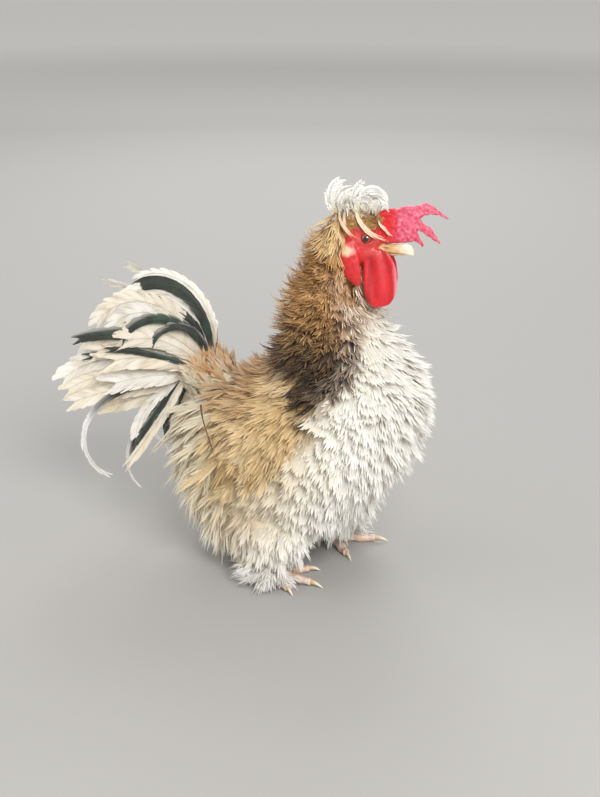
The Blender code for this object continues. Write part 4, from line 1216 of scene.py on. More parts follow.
def make_beak():
    """Both halves of the beak, the upper one with its nostrils."""
    upper = beak_half(
        ((13, 264.8, 259.2, 6.4), (18.8, 264.4, 258.9, 5.9), (26, 263.5, 258.6, 4.9),
         (33, 264.1, 257.9, 4.0),
         (38, 264.7, 257.6, 3.1), (41.3, 263.6, 257.6, 2.1), (43.2, 261.0, 257.0, 1.1)),
        (44.2, 0, 256.1), True,
    )
    p = upper[0]
    for side in SIDES.values():
        d = (p - np.array((24.2, side * 4.9, 261.4))) / np.array((2.3, 2.0, 1.0))
        hollow = np.exp(-np.sum(d**2, axis=1) * 1.3)
        p[:, 1] -= side * 1.5 * hollow
        d = (p - np.array((23.6, side * 4.7, 262.9))) / np.array((3.2, 2.2, 0.9))
        p[:, 1] += side * 0.5 * np.exp(-np.sum(d**2, axis=1))
    x, z = p[:, 0], p[:, 2]
    # The beak is paler towards its tip in its own colour, and paler along its top as a painted highlight.
    horn = blend(BEAK_HORN, BEAK_PALE, smooth(28, 41, x) + 0.6 * smooth(262.8, 264.4, z))
    horn = blend(horn, BEAK_AMBER, smooth(25, 18, x) * 0.7)
    horn = blend(horn, BEAK_STREAK, smooth(0.2, 0.9, noise(p * np.array((0.35, 1, 1)), 1.4, 51)) * 0.35)
    # Painted shade along the lower edge of the upper half, where it meets the lower one.
    horn = blend(horn, BEAK_GAPE_SHADE, smooth(259.2, 258.2, z) * smooth(41, 37, x) * 0.7)
    # Painted shade in the nostrils' hollows.
    for side in SIDES.values():
        d = (p - np.array((24.2, side * 4.1, 261.4))) / np.array((2.0, 2.0, 0.8))
        horn = blend(horn, NOSTRIL_SHADE, np.exp(-np.sum(d**2, axis=1) * 1.6) * 0.9)
    rigid("beak_top", (turned(p), upper[1]), HORN, horn, "beak_upper")
    lower = beak_half(
        ((13, 258.7, 255.3, 5.8), (18.8, 258.6, 255.5, 5.5), (26, 258.3, 255.7, 4.5),
         (33, 257.6, 255.7, 3.2), (37, 257.3, 256.4, 1.5)),
        (38.4, 0, 257.1), False,
    )
    p = lower[0]
    horn = blend(JAW_HORN, JAW_PALE, smooth(24, 36, p[:, 0]))
    # Painted shade along the top of the lower half, under the upper one.
    horn = blend(horn, JAW_GAPE_SHADE, smooth(257.0, 257.9, p[:, 2]) * 0.7)
    rigid("beak_bottom", (turned(p), lower[1]), HORN, horn, "beak_lower")


def make_claws():
    """A curved claw at the end of each toe."""
    for name in SIDES:
        for toe, x, y, ahead, length in toe_paths(name):
            end = length * 0.78 + 2
            share = np.linspace(0, 1, 22)
            reach = end - 2.0 + (length * 0.24 + 2.2) * share
            height = 3.5 + 0.5 * np.sin(share * math.pi) - 2.9 * share**2
            path = np.array((x, y, 0)) + ahead * reach[:, None] + UP * height[:, None]
            radii = np.interp(share, (0, 0.3, 0.7, 1), (1.9, 1.7, 1.0, 0.25))
            points, faces = tube(path, radii, 20, np.cross(UP, ahead), (0.85, 1.1))
            points[:, 2] = np.maximum(points[:, 2], 0.0)
            along = (points - np.array((x, y, 0))) @ ahead
            colour = blend(CLAW_ROOT, CLAW_TIP, smooth(end, end + length * 0.2, along))
            rigid(f"nail_{name}_{toe}", (points, faces), HORN, colour, f"claw_{name}_{toe}")


# Coat over the body


def lay(rng, roots, style, colours, strands, rings=4, late=1.3, turn=None, sway=14.0, **form):
    """Feathers of one kind on places of a form. style gives each one's measures in
    millimetres and degrees, how far it leans back and how high its root stands."""
    angle, point, normal, down, uv = roots
    n = len(point)
    measures = style(angle, point)

    def value(key, spread=0.0, default=0.0):
        given = np.broadcast_to(np.asarray(measures.get(key, default), float), n)
        return given + spread * rng.normal(0, 1, n)

    rear = np.array((-1.0, 0.0, 0.0))
    rearward = rear - normal * (normal @ rear)[:, None]
    lie = unit(down + value("back")[:, None] * rearward)
    hang = value("hang")[:, None]
    lie = unit(unit(lie) * (1 - hang) - UP * hang + 0.12 * rng.normal(0, 1, (n, 3)))
    normal = unit(normal - lie * np.sum(normal * lie, axis=1)[:, None])
    root = point + (value("raise") - ROOT_DEPTH)[:, None] * normal
    length = np.maximum(value("length") * (1 + 0.13 * rng.normal(0, 1, n)), 4.0)
    lift, curl = np.radians(value("lift", 4.0)), np.radians(value("curl", measures.get("stray", 12.0)))
    line, blades = shafts(root, lie, normal, length, lift, curl, np.radians(value("sway", sway)), late)
    if turn is not None:
        line, blades = turn(line), turned_vector(blades)
    width = value("width") * (1 + 0.1 * rng.normal(0, 1, n))
    edge = colours[2] if len(colours) > 2 else None
    return tufts(rng, line, blades, width, colours[0], colours[1], uv, strands, rings, edge=edge, **form)


# How loose, ragged and thick the strands are: of curled hackle, and of silky back feathers.
CURLED = {"frizz": 0.3, "ragged": 0.3, "thin": 0.15}
SILKY = {"frizz": 0.18, "ragged": 0.32, "thin": 0.12}


def draw(rng, p):
    """A random value from 0 to 1 for each point."""
    return rng.uniform(0, 1, len(p))


def in_rear(p):
    """How far a point lies in the long hanging feathers behind the legs and on the saddle."""
    x = p[..., 0] + 4 * noise(p, 14, 6)
    return smooth(-28, -46, x) * smooth(172, 160, p[..., 2]) * smooth(44, 56, p[..., 2])


def wing_rise(p):
    """Height of the folded wing's pad over the body at points of its flank."""
    dx, dz = p[..., 0] - WING_AT[0], p[..., 2] - WING_AT[1]
    u = -(dx * math.cos(WING_DROP) + dz * math.sin(WING_DROP))
    v = -dx * math.sin(WING_DROP) + dz * math.cos(WING_DROP)
    r = np.clip((u / WING_HALF[0]) ** 2 + (v / WING_HALF[1]) ** 2, 0, 1)
    return 4.6 * smooth(1.0, 0.6, r) * (np.abs(p[..., 1]) > 20)


def breast_coat(rng):
    """Soft broad feathers of breast, belly and flanks, with ragged tips that turn out."""

    def wanted(angle, p, rng):
        cape, gold = region_shares(p)
        feathered = ~bare_throat(head_measures(p))
        return feathered & (draw(rng, p) > cape) & (draw(rng, p) > gold) & (draw(rng, p) > in_rear(p))

    def style(angle, p):
        z, front = p[:, 2], np.cos(angle)
        low, high = smooth(62, 46, z), smooth(175, 225, z)
        flank = smooth(0.5, -0.1, front) * smooth(150, 120, z)
        curl = 34 + 6 * smooth(0.2, 0.9, front) - 14 * low - 18 * flank
        return {
            "length": 26 - 4 * low - 8 * high + 7 * flank,
            "width": 12.5 - 2 * low - 3.5 * high - 2 * flank,
            "lift": 8 + 3 * high + 7 * smooth(95, 75, p[:, 2]) * smooth(0.0, 0.6, front),
            "curl": curl * (1 - 0.6 * smooth(205, 222, z)),
            "back": 0.2 + 0.4 * smooth(0.5, -0.2, front),
            "hang": 0.6 * low,
            "stray": 6.0,
        }

    roots = surface_roots(rng, BODY_SLICES, 40, 237, 5.2, wanted)
    return lay(rng, roots, style, coat_colours(roots[1]), 9, 5, sway=11, frizz=0.08, ragged=0.26,
               wide=2.0, cup=0.16, start=0.25, vary=0.03, thin=0.08)


def wing_coat(rng):
    """Hair-like golden feathers of wings and back, which curl up along the ridge."""

    def wanted(angle, p, rng):
        cape, gold = region_shares(p)
        return (draw(rng, p) < gold) & (draw(rng, p) > cape) & (draw(rng, p) > in_rear(p) * 0.8)

    def style(angle, p):
        ridge = smooth(2.0, 2.7, np.abs(angle)) * smooth(138, 156, p[:, 2])
        return {
            "length": 25 - 3 * ridge,
            "width": 8.5 - 2 * ridge,
            "lift": 10 + 12 * ridge,
            "curl": 22 + 26 * ridge,
            "back": 0.1 + 0.2 * smooth(140, 110, p[:, 2]) + 0.5 * ridge,
            "raise": wing_rise(p) - back_inset(angle, p[:, 2]) + 3,
        }

    roots = surface_roots(rng, BODY_SLICES, 70, 198, 4.6, wanted)
    base, tip = coat_colours(roots[1])
    pale = blend(tip, GOLD_PALE, 0.5)
    return lay(rng, roots, style, (base, tip, pale), 7, 5, wide=1.5, start=0.3, vary=0.08, **SILKY)


def rear_coat(rng):
    """Long strands that hang from the saddle and behind the thighs."""

    def wanted(angle, p, rng):
        return (draw(rng, p) < in_rear(p)) & (draw(rng, p) > region_shares(p)[0])

    def style(angle, p):
        z = p[:, 2]
        saddle, low = smooth(118, 150, z), smooth(104, 64, z)
        return {
            "length": 50 - 10 * saddle,
            "width": 11.0,
            "lift": 21 - 5 * saddle - 14 * low,
            "curl": -14 - 22 * saddle + 14 * low,
            "back": 0.25 - 0.2 * low,
            "hang": 0.85 * low,
            "raise": 3 - back_inset(angle, z),
        }

    roots = surface_roots(rng, BODY_SLICES, 44, 172, 5.6, wanted)
    base, tip = coat_colours(roots[1])
    streak = (0.5 + 0.5 * noise(roots[1], 5, 61))[:, None] * 0.6
    edge = tip * (1 - streak) + GOLD_PALE * streak
    return lay(rng, roots, style, (base, tip, edge), 7, 5, wide=1.6, start=0.4, vary=0.05, **SILKY)


def cape_coat(rng):
    """Narrow curled hackle of the neck, longer and darker towards the cape's points."""

    def clear(angle, p, rng):
        h = head_measures(p)
        return ~((h[:, 0] > -4) & (h[:, 0] < 14) & (np.abs(h[:, 1]) > 11) & (p[:, 2] > 228))

    def wanted(angle, p, rng):
        return (draw(rng, p) < region_shares(p)[0]) & clear(angle, p, rng)

    def style(angle, p):
        z = p[:, 2]
        low = smooth(212, 176, z)
        front = smooth(1.3, 0.7, np.abs(angle))
        return {
            "length": 20 + 8 * low + 4 * front,
            "width": 6.5 + 1.5 * low,
            "lift": 28 - 12 * low - 8 * front,
            "curl": 100 - 50 * low - 40 * front,
            "back": 0.25 - 0.4 * front,
            "raise": 2.2 - back_inset(angle, z),
        }

    roots = surface_roots(rng, BODY_SLICES, 146, 249, 4.6, wanted)
    p = roots[1]
    base, tip = coat_colours(p)
    front = smooth(1.3, 0.7, np.abs(roots[0])) * smooth(180, 196, p[:, 2])
    edge = blend(tip, BROWN_PALE, 0.7 * smooth(190, 220, p[:, 2]) + 0.15)
    tip = blend(tip, CAPE_FRINGE, front * 0.85)
    edge = blend(edge, WHITE, front * 0.8)
    # Painted shade: the hackle's roots are darkened for the shade between its strands.
    hackle = lay(rng, roots, style, (base * 0.7, tip, edge), 5, 5, sway=26, wide=0.85, start=0.4, vary=0.14,
                 **CURLED)

    def short(angle, p):
        return {"length": 14, "width": 5.5, "lift": 14, "curl": 80, "back": 0.15, "raise": 1.2}

    roots = surface_roots(rng, BODY_SLICES, 228, 249.7, 3.4, clear)
    base, tip = coat_colours(roots[1])
    edge = blend(tip, BROWN_PALE, 0.7)
    # Painted shade: the collar's roots are darkened for the shade between its strands.
    collar = lay(rng, roots, short, (base * 0.6, tip, edge), 5, 5, sway=26, wide=0.9, start=0.3, vary=0.14,
                 **CURLED)

    def beneath(angle, p, rng):
        h = head_measures(p)
        return ((region_shares(p)[0] > 0.5) | (p[:, 2] > 222)) & ~bare_throat(h) & (h[:, 0] < 9)

    def flat(angle, p):
        near = 1.0 * ~clear(angle, p, rng)
        return {"length": 13 - 3 * near, "width": 6.5 - 2 * near, "lift": 6, "curl": 12, "back": 0.1,
                "raise": 2.6 - back_inset(angle, p[:, 2]) - 0.6 * near}

    under = []
    for low, high, spacing in ((160, 226, 5.4), (226, 249.5, 3.2)):
        roots = surface_roots(rng, BODY_SLICES, low, high, spacing, beneath)
        base, tip = coat_colours(roots[1])
        # Painted shade: the roots are darkened for the shade between the feathers.
        under.append(lay(rng, roots, flat, (base * 0.7, tip), 5, 4, frizz=0.2, ragged=0.3, wide=1.2,
                         start=0.4, vary=0.12, thin=0.15))
    return [hackle, collar] + under


def nape_coat(rng, skin):
    """Golden curled feathers over the back of the head, and short ones on its top."""

    def behind(angle, p, rng):
        return (p[:, 0] < np.interp(p[:, 2], (262, 276), (-12.5, -8))) | (p[:, 2] > feather_line(p[:, 0]))

    def sweep(p):
        return smooth(-18, -12, p[:, 0]) * smooth(256, 264, p[:, 2])

    def style(angle, p):
        high = smooth(262, 280, p[:, 2])
        swept = sweep(p)
        return {
            "length": 19 + 6 * swept * smooth(268, 276, p[:, 2]),
            "width": 6.5,
            "lift": (28 - 18 * high) * (1 - 0.5 * swept),
            "curl": (95 - 62 * high) * (1 - 0.8 * swept),
            "back": 0.35 - 0.3 * swept,
            "raise": 2.5 + swept,
        }

    def on_top(h):
        x, z = h[:, 0], h[:, 2]
        return (z > feather_line(x) + 3.2) & (x > -9) & (x < 20) & (comb_share(h) < 0.3) & (z < 287.5)

    def short(angle, p):
        return {"length": 6.5, "width": 3.0, "lift": 10, "curl": 18, "back": 0.0, "raise": 2.3}

    parts = []
    for roots, look, sway in (
        (surface_roots(rng, NAPE_SLICES, 246.5, 285.5, 4.0, behind), style, 22),
        (skin_roots(rng, skin, 2.0, on_top), short, 24),
    ):
        p = roots[1]
        mix = 0.5 + 0.5 * noise(p, 4, 71)
        back = smooth(266, 280, p[:, 2]) * smooth(-2, -10, p[:, 0]) * 0.6
        pale = np.maximum(back, sweep(p) * smooth(262, 270, p[:, 2]) * 0.9)
        pale *= p[:, 0] < -6
        base = blend(BROWN_DARK, GOLD_DARK, np.clip(mix + 0.5 * pale, 0, 1))
        top = smooth(284, 288, p[:, 2])
        tip = blend(blend(BROWN, GOLD, mix * 0.7), blend(NAPE_LIGHT, GOLD_PALE, mix), 0.8 * pale)
        base, tip = blend(base, CREAM, top), blend(tip, WHITE, top)
        edge = blend(tip, GOLD_PALE, 0.12 + 0.35 * pale)
        # Painted shade: the roots are darkened for the shade between the feathers.
        parts.append(lay(rng, roots, look, (base * 0.8, tip, edge), 5, 5, turn=turned, sway=sway, wide=0.85,
                         start=0.4, vary=0.12, **CURLED))
    return parts


def thigh_coat(rng, name):
    """Soft white feathers that hang round a thigh."""
    x, y = FEET[name]
    table = np.array([(z, x + dx - a, x + dx + a, b - 5 * (z > 60)) for z, dx, _, a, b in THIGH], float)
    roots = surface_roots(rng, table, 27, 65.5, 5.2, lambda angle, p, rng: np.ones(len(p), bool))
    angle, point, normal, down, uv = roots
    point = point + np.array((0.0, y, 0.0))

    def style(angle, p):
        length = 24 + 3 * smooth(50, 34, p[:, 2])
        return {"length": length, "width": 9.5, "lift": 8, "curl": 18, "back": 0.1, "hang": 0.35}

    down = unit(down * np.array((0.5, 0.5, 1.0)))
    colours = [blend(c, WHITE, 0.5 * smooth(70, 40, point[:, 2])) for c in coat_colours(point)]
    roots = angle, point, normal, down, uv
    return lay(rng, roots, style, colours, 9, frizz=0.1, ragged=0.3, wide=1.8, cup=0.18, start=0.3,
               vary=0.03, thin=0.1)


def foot_coat(rng, name, side):
    """White tufts that fan out over the outer side of the foot, low over the floor."""
    x, y = FEET[name]
    n = 70
    heading = side * np.radians(rng.uniform(20, 200, n))
    out = np.stack([np.cos(heading), np.sin(heading), 0 * heading], -1)
    height = rng.uniform(5.5, 15, n)
    root = np.array((x, y, 0)) + out * 4.5 + height[:, None] * UP
    lie = unit(out - UP * rng.uniform(0.0, 0.35, n)[:, None])
    normal = unit(UP - lie * (lie @ UP)[:, None])
    length = rng.uniform(24, 39, n) * (1 - 0.12 * np.abs(np.abs(np.degrees(heading)) - 110) / 90)
    drop = np.degrees(np.arcsin(np.clip((height - 2.5) / length, 0, 1)))
    line, blades = shafts(root, lie, normal, length, np.radians(rng.uniform(4, 16, n)),
                          np.radians(-drop * 0.9 - 8), np.radians(rng.normal(0, 12, n)), 1.3)
    line[..., 2] = np.maximum(line[..., 2], 2.2)
    uv = np.stack([heading / (2 * math.pi) + 0.5, height / 40], -1)
    white = np.tile(WHITE, (n, 1))
    dark = blend(white, FOOT_SHADE, (rng.uniform(0, 1, n) < 0.15) * 0.7)
    part = tufts(rng, line, blades, np.full(n, 9.0), blend(white, CREAM, np.full(n, 0.4)), dark, uv, 10, 4,
                 frizz=0.2, ragged=0.25, wide=1.1, start=0.7)
    part[0][:, 2] = np.maximum(part[0][:, 2], 0.35)
    return part


# Crest tassels: place of the root forward and aside, heading they curl towards, lean at the
# root, curl, how late they curl, and length, in millimetres and degrees.
TASSELS = (
    (-10, -3, 5, -58, 116, 1.1, 31), (-10, -1, 8, -80, 105, 1.0, 21), (-6, -4, -10, -45, 95, 1.1, 17),
    (-1, -2, 5, -12, 60, 1.2, 24), (4.5, -2, 0, -12, 230, 1.6, 39), (5, 3, 15, -12, 190, 1.5, 32),
    (3, -5, -30, -10, 150, 1.3, 26), (-2, 4, 25, -25, 110, 1.2, 20), (-8, 4, 15, -70, 130, 1.1, 24),
    (-5, 6, 70, 0, 120, 1.2, 19), (2, 7, 60, 10, 130, 1.2, 20), (-3, -7, -75, 5, 110, 1.2, 16),
    (6, 0, -12, -4, 190, 1.5, 31), (5, 4, 40, 0, 160, 1.3, 26), (-12, -1, 175, 34, -34, 1.2, 16),
    (-7, 7, 140, 25, 90, 1.2, 17), (1, 0, 0, -25, 120, 1.3, 19), (4, 1, 12, -10, 165, 1.4, 27),
    (-4, 0, -4, -50, 120, 1.1, 19), (2, -5, -20, -20, 140, 1.2, 20), (6, 6, 45, 5, 150, 1.3, 23),
    (7, -5, -5, -10, 120, 1.3, 24), (8.5, -2, 5, -8, 150, 1.4, 24), (5, -6, -15, -14, 90, 1.2, 20),
    (10.5, -3, 0, 0, 120, 1.3, 18), (-7, -5, -5, -35, 70, 1.2, 15),
)


def crest_coat(rng):
    """Curled tassels that rise from the crown, their barbs parted like a comb's teeth."""
    parts = []
    for x, y, heading, lean, curl, late, length in TASSELS:
        aim = math.radians(heading + rng.normal(0, 4))
        out = np.array((math.cos(aim), math.sin(aim), 0.0))
        steps = 26
        t = (np.arange(steps) + 0.5) / steps
        angle = np.radians(lean + curl * t**late)
        ahead = np.cos(angle)[:, None] * UP + np.sin(angle)[:, None] * out
        root = np.array((x, y, CROWN_HEIGHT - 0.02 * (x - 2) ** 2 - 0.04 * y * y))
        line = np.concatenate([root[None], root + np.cumsum(ahead, axis=0) * length / steps])
        inward = np.sin(angle)[:, None] * UP - np.cos(angle)[:, None] * out
        tilt = math.radians(rng.normal(0, 30))
        blades = math.cos(tilt) * np.cross(UP, out) + math.sin(tilt) * inward
        blades = np.concatenate([blades, blades[-1:]])

        def colour(along, spread, p):
            warm = smooth(0.35, 0.05, along)
            return blend(np.broadcast_to(WHITE, p.shape), CREST_ROOT, warm * 0.9)

        cell = (0.45 + x / 90, 0.45 + y / 60, 0.01, 0.01)
        line, blades = turned(line), turned_vector(blades)
        parts += web(rng, line, blades, 4.2, max(5, int(length / 4)), colour, cell, (40, 22), 0.0, 0.5, 1.0)
        shares = (1.0, 0.15) if curl > 100 else (0.8, 0.5)
        parts += tassel(rng, line, blades, rng.uniform(10, 13), int(length * 0.5), colour, cell,
                        fill=0.75, quill=1.0, shares=shares)
    n = 190
    turn, reach = rng.uniform(0, 2 * math.pi, n), np.sqrt(rng.uniform(0, 1, n))
    out = np.stack([np.cos(turn), np.sin(turn), 0 * turn], -1)
    root = np.stack([4 + 13 * reach * out[:, 0], 8.0 * reach * out[:, 1], 286 - 1.5 * reach**2], -1)
    lie = unit(UP + out * (0.3 + 0.7 * reach)[:, None])
    normal = unit(UP * 0.3 + out - lie * np.sum((UP * 0.3 + out) * lie, axis=1)[:, None])
    line, blades = shafts(root, lie, normal, rng.uniform(9, 14, n), np.zeros(n),
                          np.radians(rng.uniform(-110, -20, n)),
                          np.radians(rng.normal(0, 20, n)), 1.3)
    cream, white = np.tile(CREST_CREAM, (n, 1)), np.tile(WHITE, (n, 1))
    parts.append(tufts(rng, turned(line), turned_vector(blades), np.full(n, 4.5), cream, white,
                       root[:, :2] / 40 + 0.5,
                       6, 4, frizz=0.25, ragged=0.3, wide=1.1, start=0.4))
    return parts


# Loose feathers down the cheeks: side, forward place at root and tip, heights of root and
# tip, width.
CHEEK_STRANDS = (
    (-1, -11, 2.5, 287, 261, 2.4), (-1, -9, 8, 287, 268, 2.4), (-1, 2.5, 23, 288, 264.5, 3.2),
    (-1, -4, 0, 287, 274, 2.2),
    (-1, -12, -7, 286, 268, 2.8), (-1, 16, 24, 280, 268.5, 2.8), (-1, 18, 25, 276, 268, 2.4),
    (1, -9, -1, 286, 263, 2.6), (1, -4, 8, 286, 270, 2.6), (1, 1, 18, 287, 268, 3.2),
    (1, 15, 20, 280, 270, 2.6),
)


def cheek_coat(rng):
    """Loose feathers that start on the crown and lie over the cheeks."""
    lines, blades, uv, widths = [], [], [], []
    for side, x_root, x_tip, z_root, z_tip, width in CHEEK_STRANDS:
        share = np.linspace(0, 1, 15)
        z = z_root + (z_tip - z_root) * share
        x = x_root + (x_tip - x_root) * share**1.5
        angle = side * np.arccos(np.clip(slice_share(through(HEAD_SLICES, z), x), -0.98, 0.98))
        point, normal, _ = slice_frame(HEAD_SLICES, angle, z)
        point[:, 0] = np.where(np.abs(x - point[:, 0]) > 0.2, x, point[:, 0])
        high = 2.4 + (2.4 + 1.1 * (x_root < -8)) * np.sin(share * math.pi * 0.7) + 1.4 * share**5
        lines.append(point + high[:, None] * normal)
        blades.append(normal)
        uv.append((0.5 + side * 0.2, 0.5 + x_root / 80))
        widths.append(width)
    n = len(CHEEK_STRANDS)
    root_colour, tip_colour = np.tile(CHEEK_ROOT, (n, 1)), np.tile(CHEEK_TIP, (n, 1))
    return tufts(rng, turned(np.array(lines)), turned_vector(np.array(blades)), np.array(widths),
                 root_colour, tip_colour, np.array(uv), 4, 8, frizz=0.05, ragged=0.1, wide=2.0,
                 start=0.05, cup=0.2, thin=0.25, vary=0.03)


def rump_coat(rng):
    """Fluff that covers the root of the tail."""
    n = 170
    share = rng.uniform(0, 1, n)
    turn = rng.uniform(0, 2 * math.pi, n)
    start = RUMP_FROM * 0.35 + RUMP_END * 0.65
    centre = start + (RUMP_END - start) * share[:, None]
    radius = 21 - 3 * share
    up = np.cross(TAIL_AXIS, np.array((0.0, 1.0, 0.0)))
    out = np.cos(turn)[:, None] * np.array((0.0, 1.0, 0.0)) + np.sin(turn)[:, None] * up
    root = centre + out * (radius - 2)[:, None]
    lie = unit(TAIL_AXIS + 0.1 * rng.normal(0, 1, (n, 3)))
    normal = unit(out - lie * np.sum(out * lie, axis=1)[:, None])
    above = smooth(-0.2, 0.6, -np.sin(turn) if up[2] < 0 else np.sin(turn))
    length = rng.uniform(15, 22, n)
    line, blades = shafts(root, lie, normal, length, np.radians(rng.uniform(8, 20, n)),
                          np.radians(rng.uniform(10, 40, n) - 50 * (1 - above)),
                          np.radians(rng.normal(0, 14, n)), 1.3)
    fluff = blend(CREAM, FLUFF, rng.uniform(0, 1, n))
    tip = blend(fluff, RUMP_TIP, above * (0.4 + 0.6 * rng.uniform(0, 1, n)))
    uv = np.stack([turn / (2 * math.pi), 0.1 + 0.8 * share], -1)
    # Painted shade: the roots are darker than the tips for the shade between the tufts.
    return tufts(rng, line, blades, np.full(n, 9.0), tip * 0.85, tip, uv, 8, 4, frizz=0.2, ragged=0.3,
                 wide=1.5, start=0.45, vary=0.05)


# Long vanes: tail, sickles and wing quills


def box_uv(uv_box, spread, along):
    """Places in a feather's own box of the UV map, from its web's edge to edge and root to tip."""
    u0, v0, du, dv = uv_box
    return np.stack([u0 + du * (0.5 + spread * 0.4), v0 + dv * np.clip(along, 0, 1.1) * 0.9], -1)


def quill_shaft(line, thickness, tip_radius, dim, paint_barb, uv_box):
    """The tapered shaft of a feather, in its barbs' colours times dim."""
    line = line[:: max(1, (len(line) - 1) // QUILL_STATIONS)]
    points, faces = tube(line, np.linspace(thickness / 2, tip_radius, len(line)), 6, (0.0, 1.0, 0.02))
    share = np.concatenate([np.repeat(np.linspace(0, 1, len(line)), 6), [1.0, 0.0]])
    colours = np.clip(paint_barb(share[None], 0 * share[None], points[None])[0] * dim, 0, 1)
    return points, faces, colours, box_uv(uv_box, 0 * share, share), (len(points), len(faces))


def twisted(up, side, turn):
    """A blade's upward and sideward directions, turned about its run."""
    c, s = np.cos(turn)[..., None], np.sin(turn)[..., None]
    return c * up + s * side, c * side - s * up


# Half widths of a feather along its shaft: shares of the length, and shares of the full width.
TASSEL_OUTLINE = ((0, 0.06, 0.2, 0.45, 0.75, 0.93, 1), (0.12, 0.4, 0.85, 1.0, 0.92, 0.7, 0.5))
WEB_OUTLINE = ((0, 0.05, 0.16, 0.42, 0.72, 0.92, 1), (0.1, 0.4, 0.85, 1.0, 0.95, 0.72, 0.45))


def tassel(rng, line, normals, width, groups, paint_barb, uv_box, lean=(52, 30), twist=0.0, quill=1.5,
           fill=1.75, shares=(1.0, 1.0)):
    """A loose feather: a tapered shaft with groups of barbs parted like a comb's teeth."""
    line, normals = line[None], normals[None]
    length = np.sum(np.linalg.norm(np.diff(line[0], axis=0), axis=1))
    rings = 6
    s = np.linspace(0, 1, rings)
    tau = np.linspace(0.05, 0.985, groups)
    tau = np.concatenate([tau, tau + 0.5 / groups])
    hand = np.repeat((-1.0, 1.0), groups)
    tau = np.clip(tau + rng.uniform(-0.25, 0.25, 2 * groups) / groups, 0, 0.99)
    n = len(tau)
    centre = at_shares(line, tau[None])[0]
    up = unit(at_shares(normals, tau[None])[0])
    ahead = unit(at_shares(np.gradient(line, axis=1), tau[None])[0])
    side = unit(np.cross(ahead, up))
    up, side = twisted(up, side, twist * smooth(0.35, 1.0, tau))
    half = width / 2 * np.interp(tau, *TASSEL_OUTLINE) * (1 + 0.10 * rng.normal(0, 1, n))
    half = half * np.repeat(shares, groups)
    clump = noise(np.stack([tau * groups / 5, hand * 9, 0 * tau], -1), 1.0, int(rng.integers(1000)))
    lean_now = np.radians(np.interp(tau, (0, 1), lean) * (1 - 0.22 * clump))
    reach = half / np.sin(lean_now)
    bend = np.radians(14) + 0.10 * rng.normal(0, 1, n)
    heading = lean_now[:, None] + bend[:, None] * (0.5 - s)
    step = reach[:, None] / (rings - 1)
    forward = np.cumsum(np.cos(heading) * step, axis=1) - np.cos(heading[:, :1]) * step
    across = np.cumsum(np.sin(heading) * step, axis=1) - np.sin(heading[:, :1]) * step
    cup = 0.10 * across**2 / (width / 2)
    lift = 0.25 * rng.normal(0, 1, n)[:, None] * s**2 + 0.12 * clump[:, None] * s
    body = centre[:, None] + forward[..., None] * ahead[:, None]
    body = body + (hand[:, None] * across)[..., None] * side[:, None]
    body = body + (lift - cup)[..., None] * up[:, None]
    run = unit(np.gradient(body, axis=1))
    flat = unit(np.cross(run, up[:, None]))
    rise = np.cross(flat, run)
    tilt = 0.10 * hand[:, None, None]
    rise, flat = rise - tilt * flat, flat + tilt * rise
    pitch = length / groups * np.sin(lean_now) * fill
    w = pitch[:, None] * np.interp(s, (0, 0.3, 0.8, 1), (0.8, 1.0, 0.8, 0.12))
    w = w[:, : rings - 1, None]
    thick = 0.14
    b, f, r = body[:, :-1], flat[:, :-1], rise[:, :-1]
    ring = np.stack([b + f * w / 2, b - f * w / 2, b + r * thick * 2], axis=2)
    points = np.concatenate([ring.reshape(n, -1, 3), body[:, -1:]], axis=1)
    per = points.shape[1]
    cells = strand_cells(rings)
    faces = (cells[None] + np.arange(n)[:, None, None] * per).reshape(-1, 3)
    c_now = hand[:, None] * np.minimum(across / (width / 2), 1.2)
    t_now = tau[:, None] + forward / length
    spread, along = on_strand(c_now), on_strand(t_now)
    colours = paint_barb(along, spread, points)
    colours = np.clip(colours * (1 + 0.05 * rng.normal(0, 1, (n, 1, 1))), 0, 1)
    uv = box_uv(uv_box, spread, along)
    size = per, len(cells)
    barbs = points.reshape(-1, 3), faces, colours.reshape(-1, 3), uv.reshape(-1, 2), size
    return [barbs, quill_shaft(line[0], quill, 0.2, 0.82, paint_barb, uv_box)]


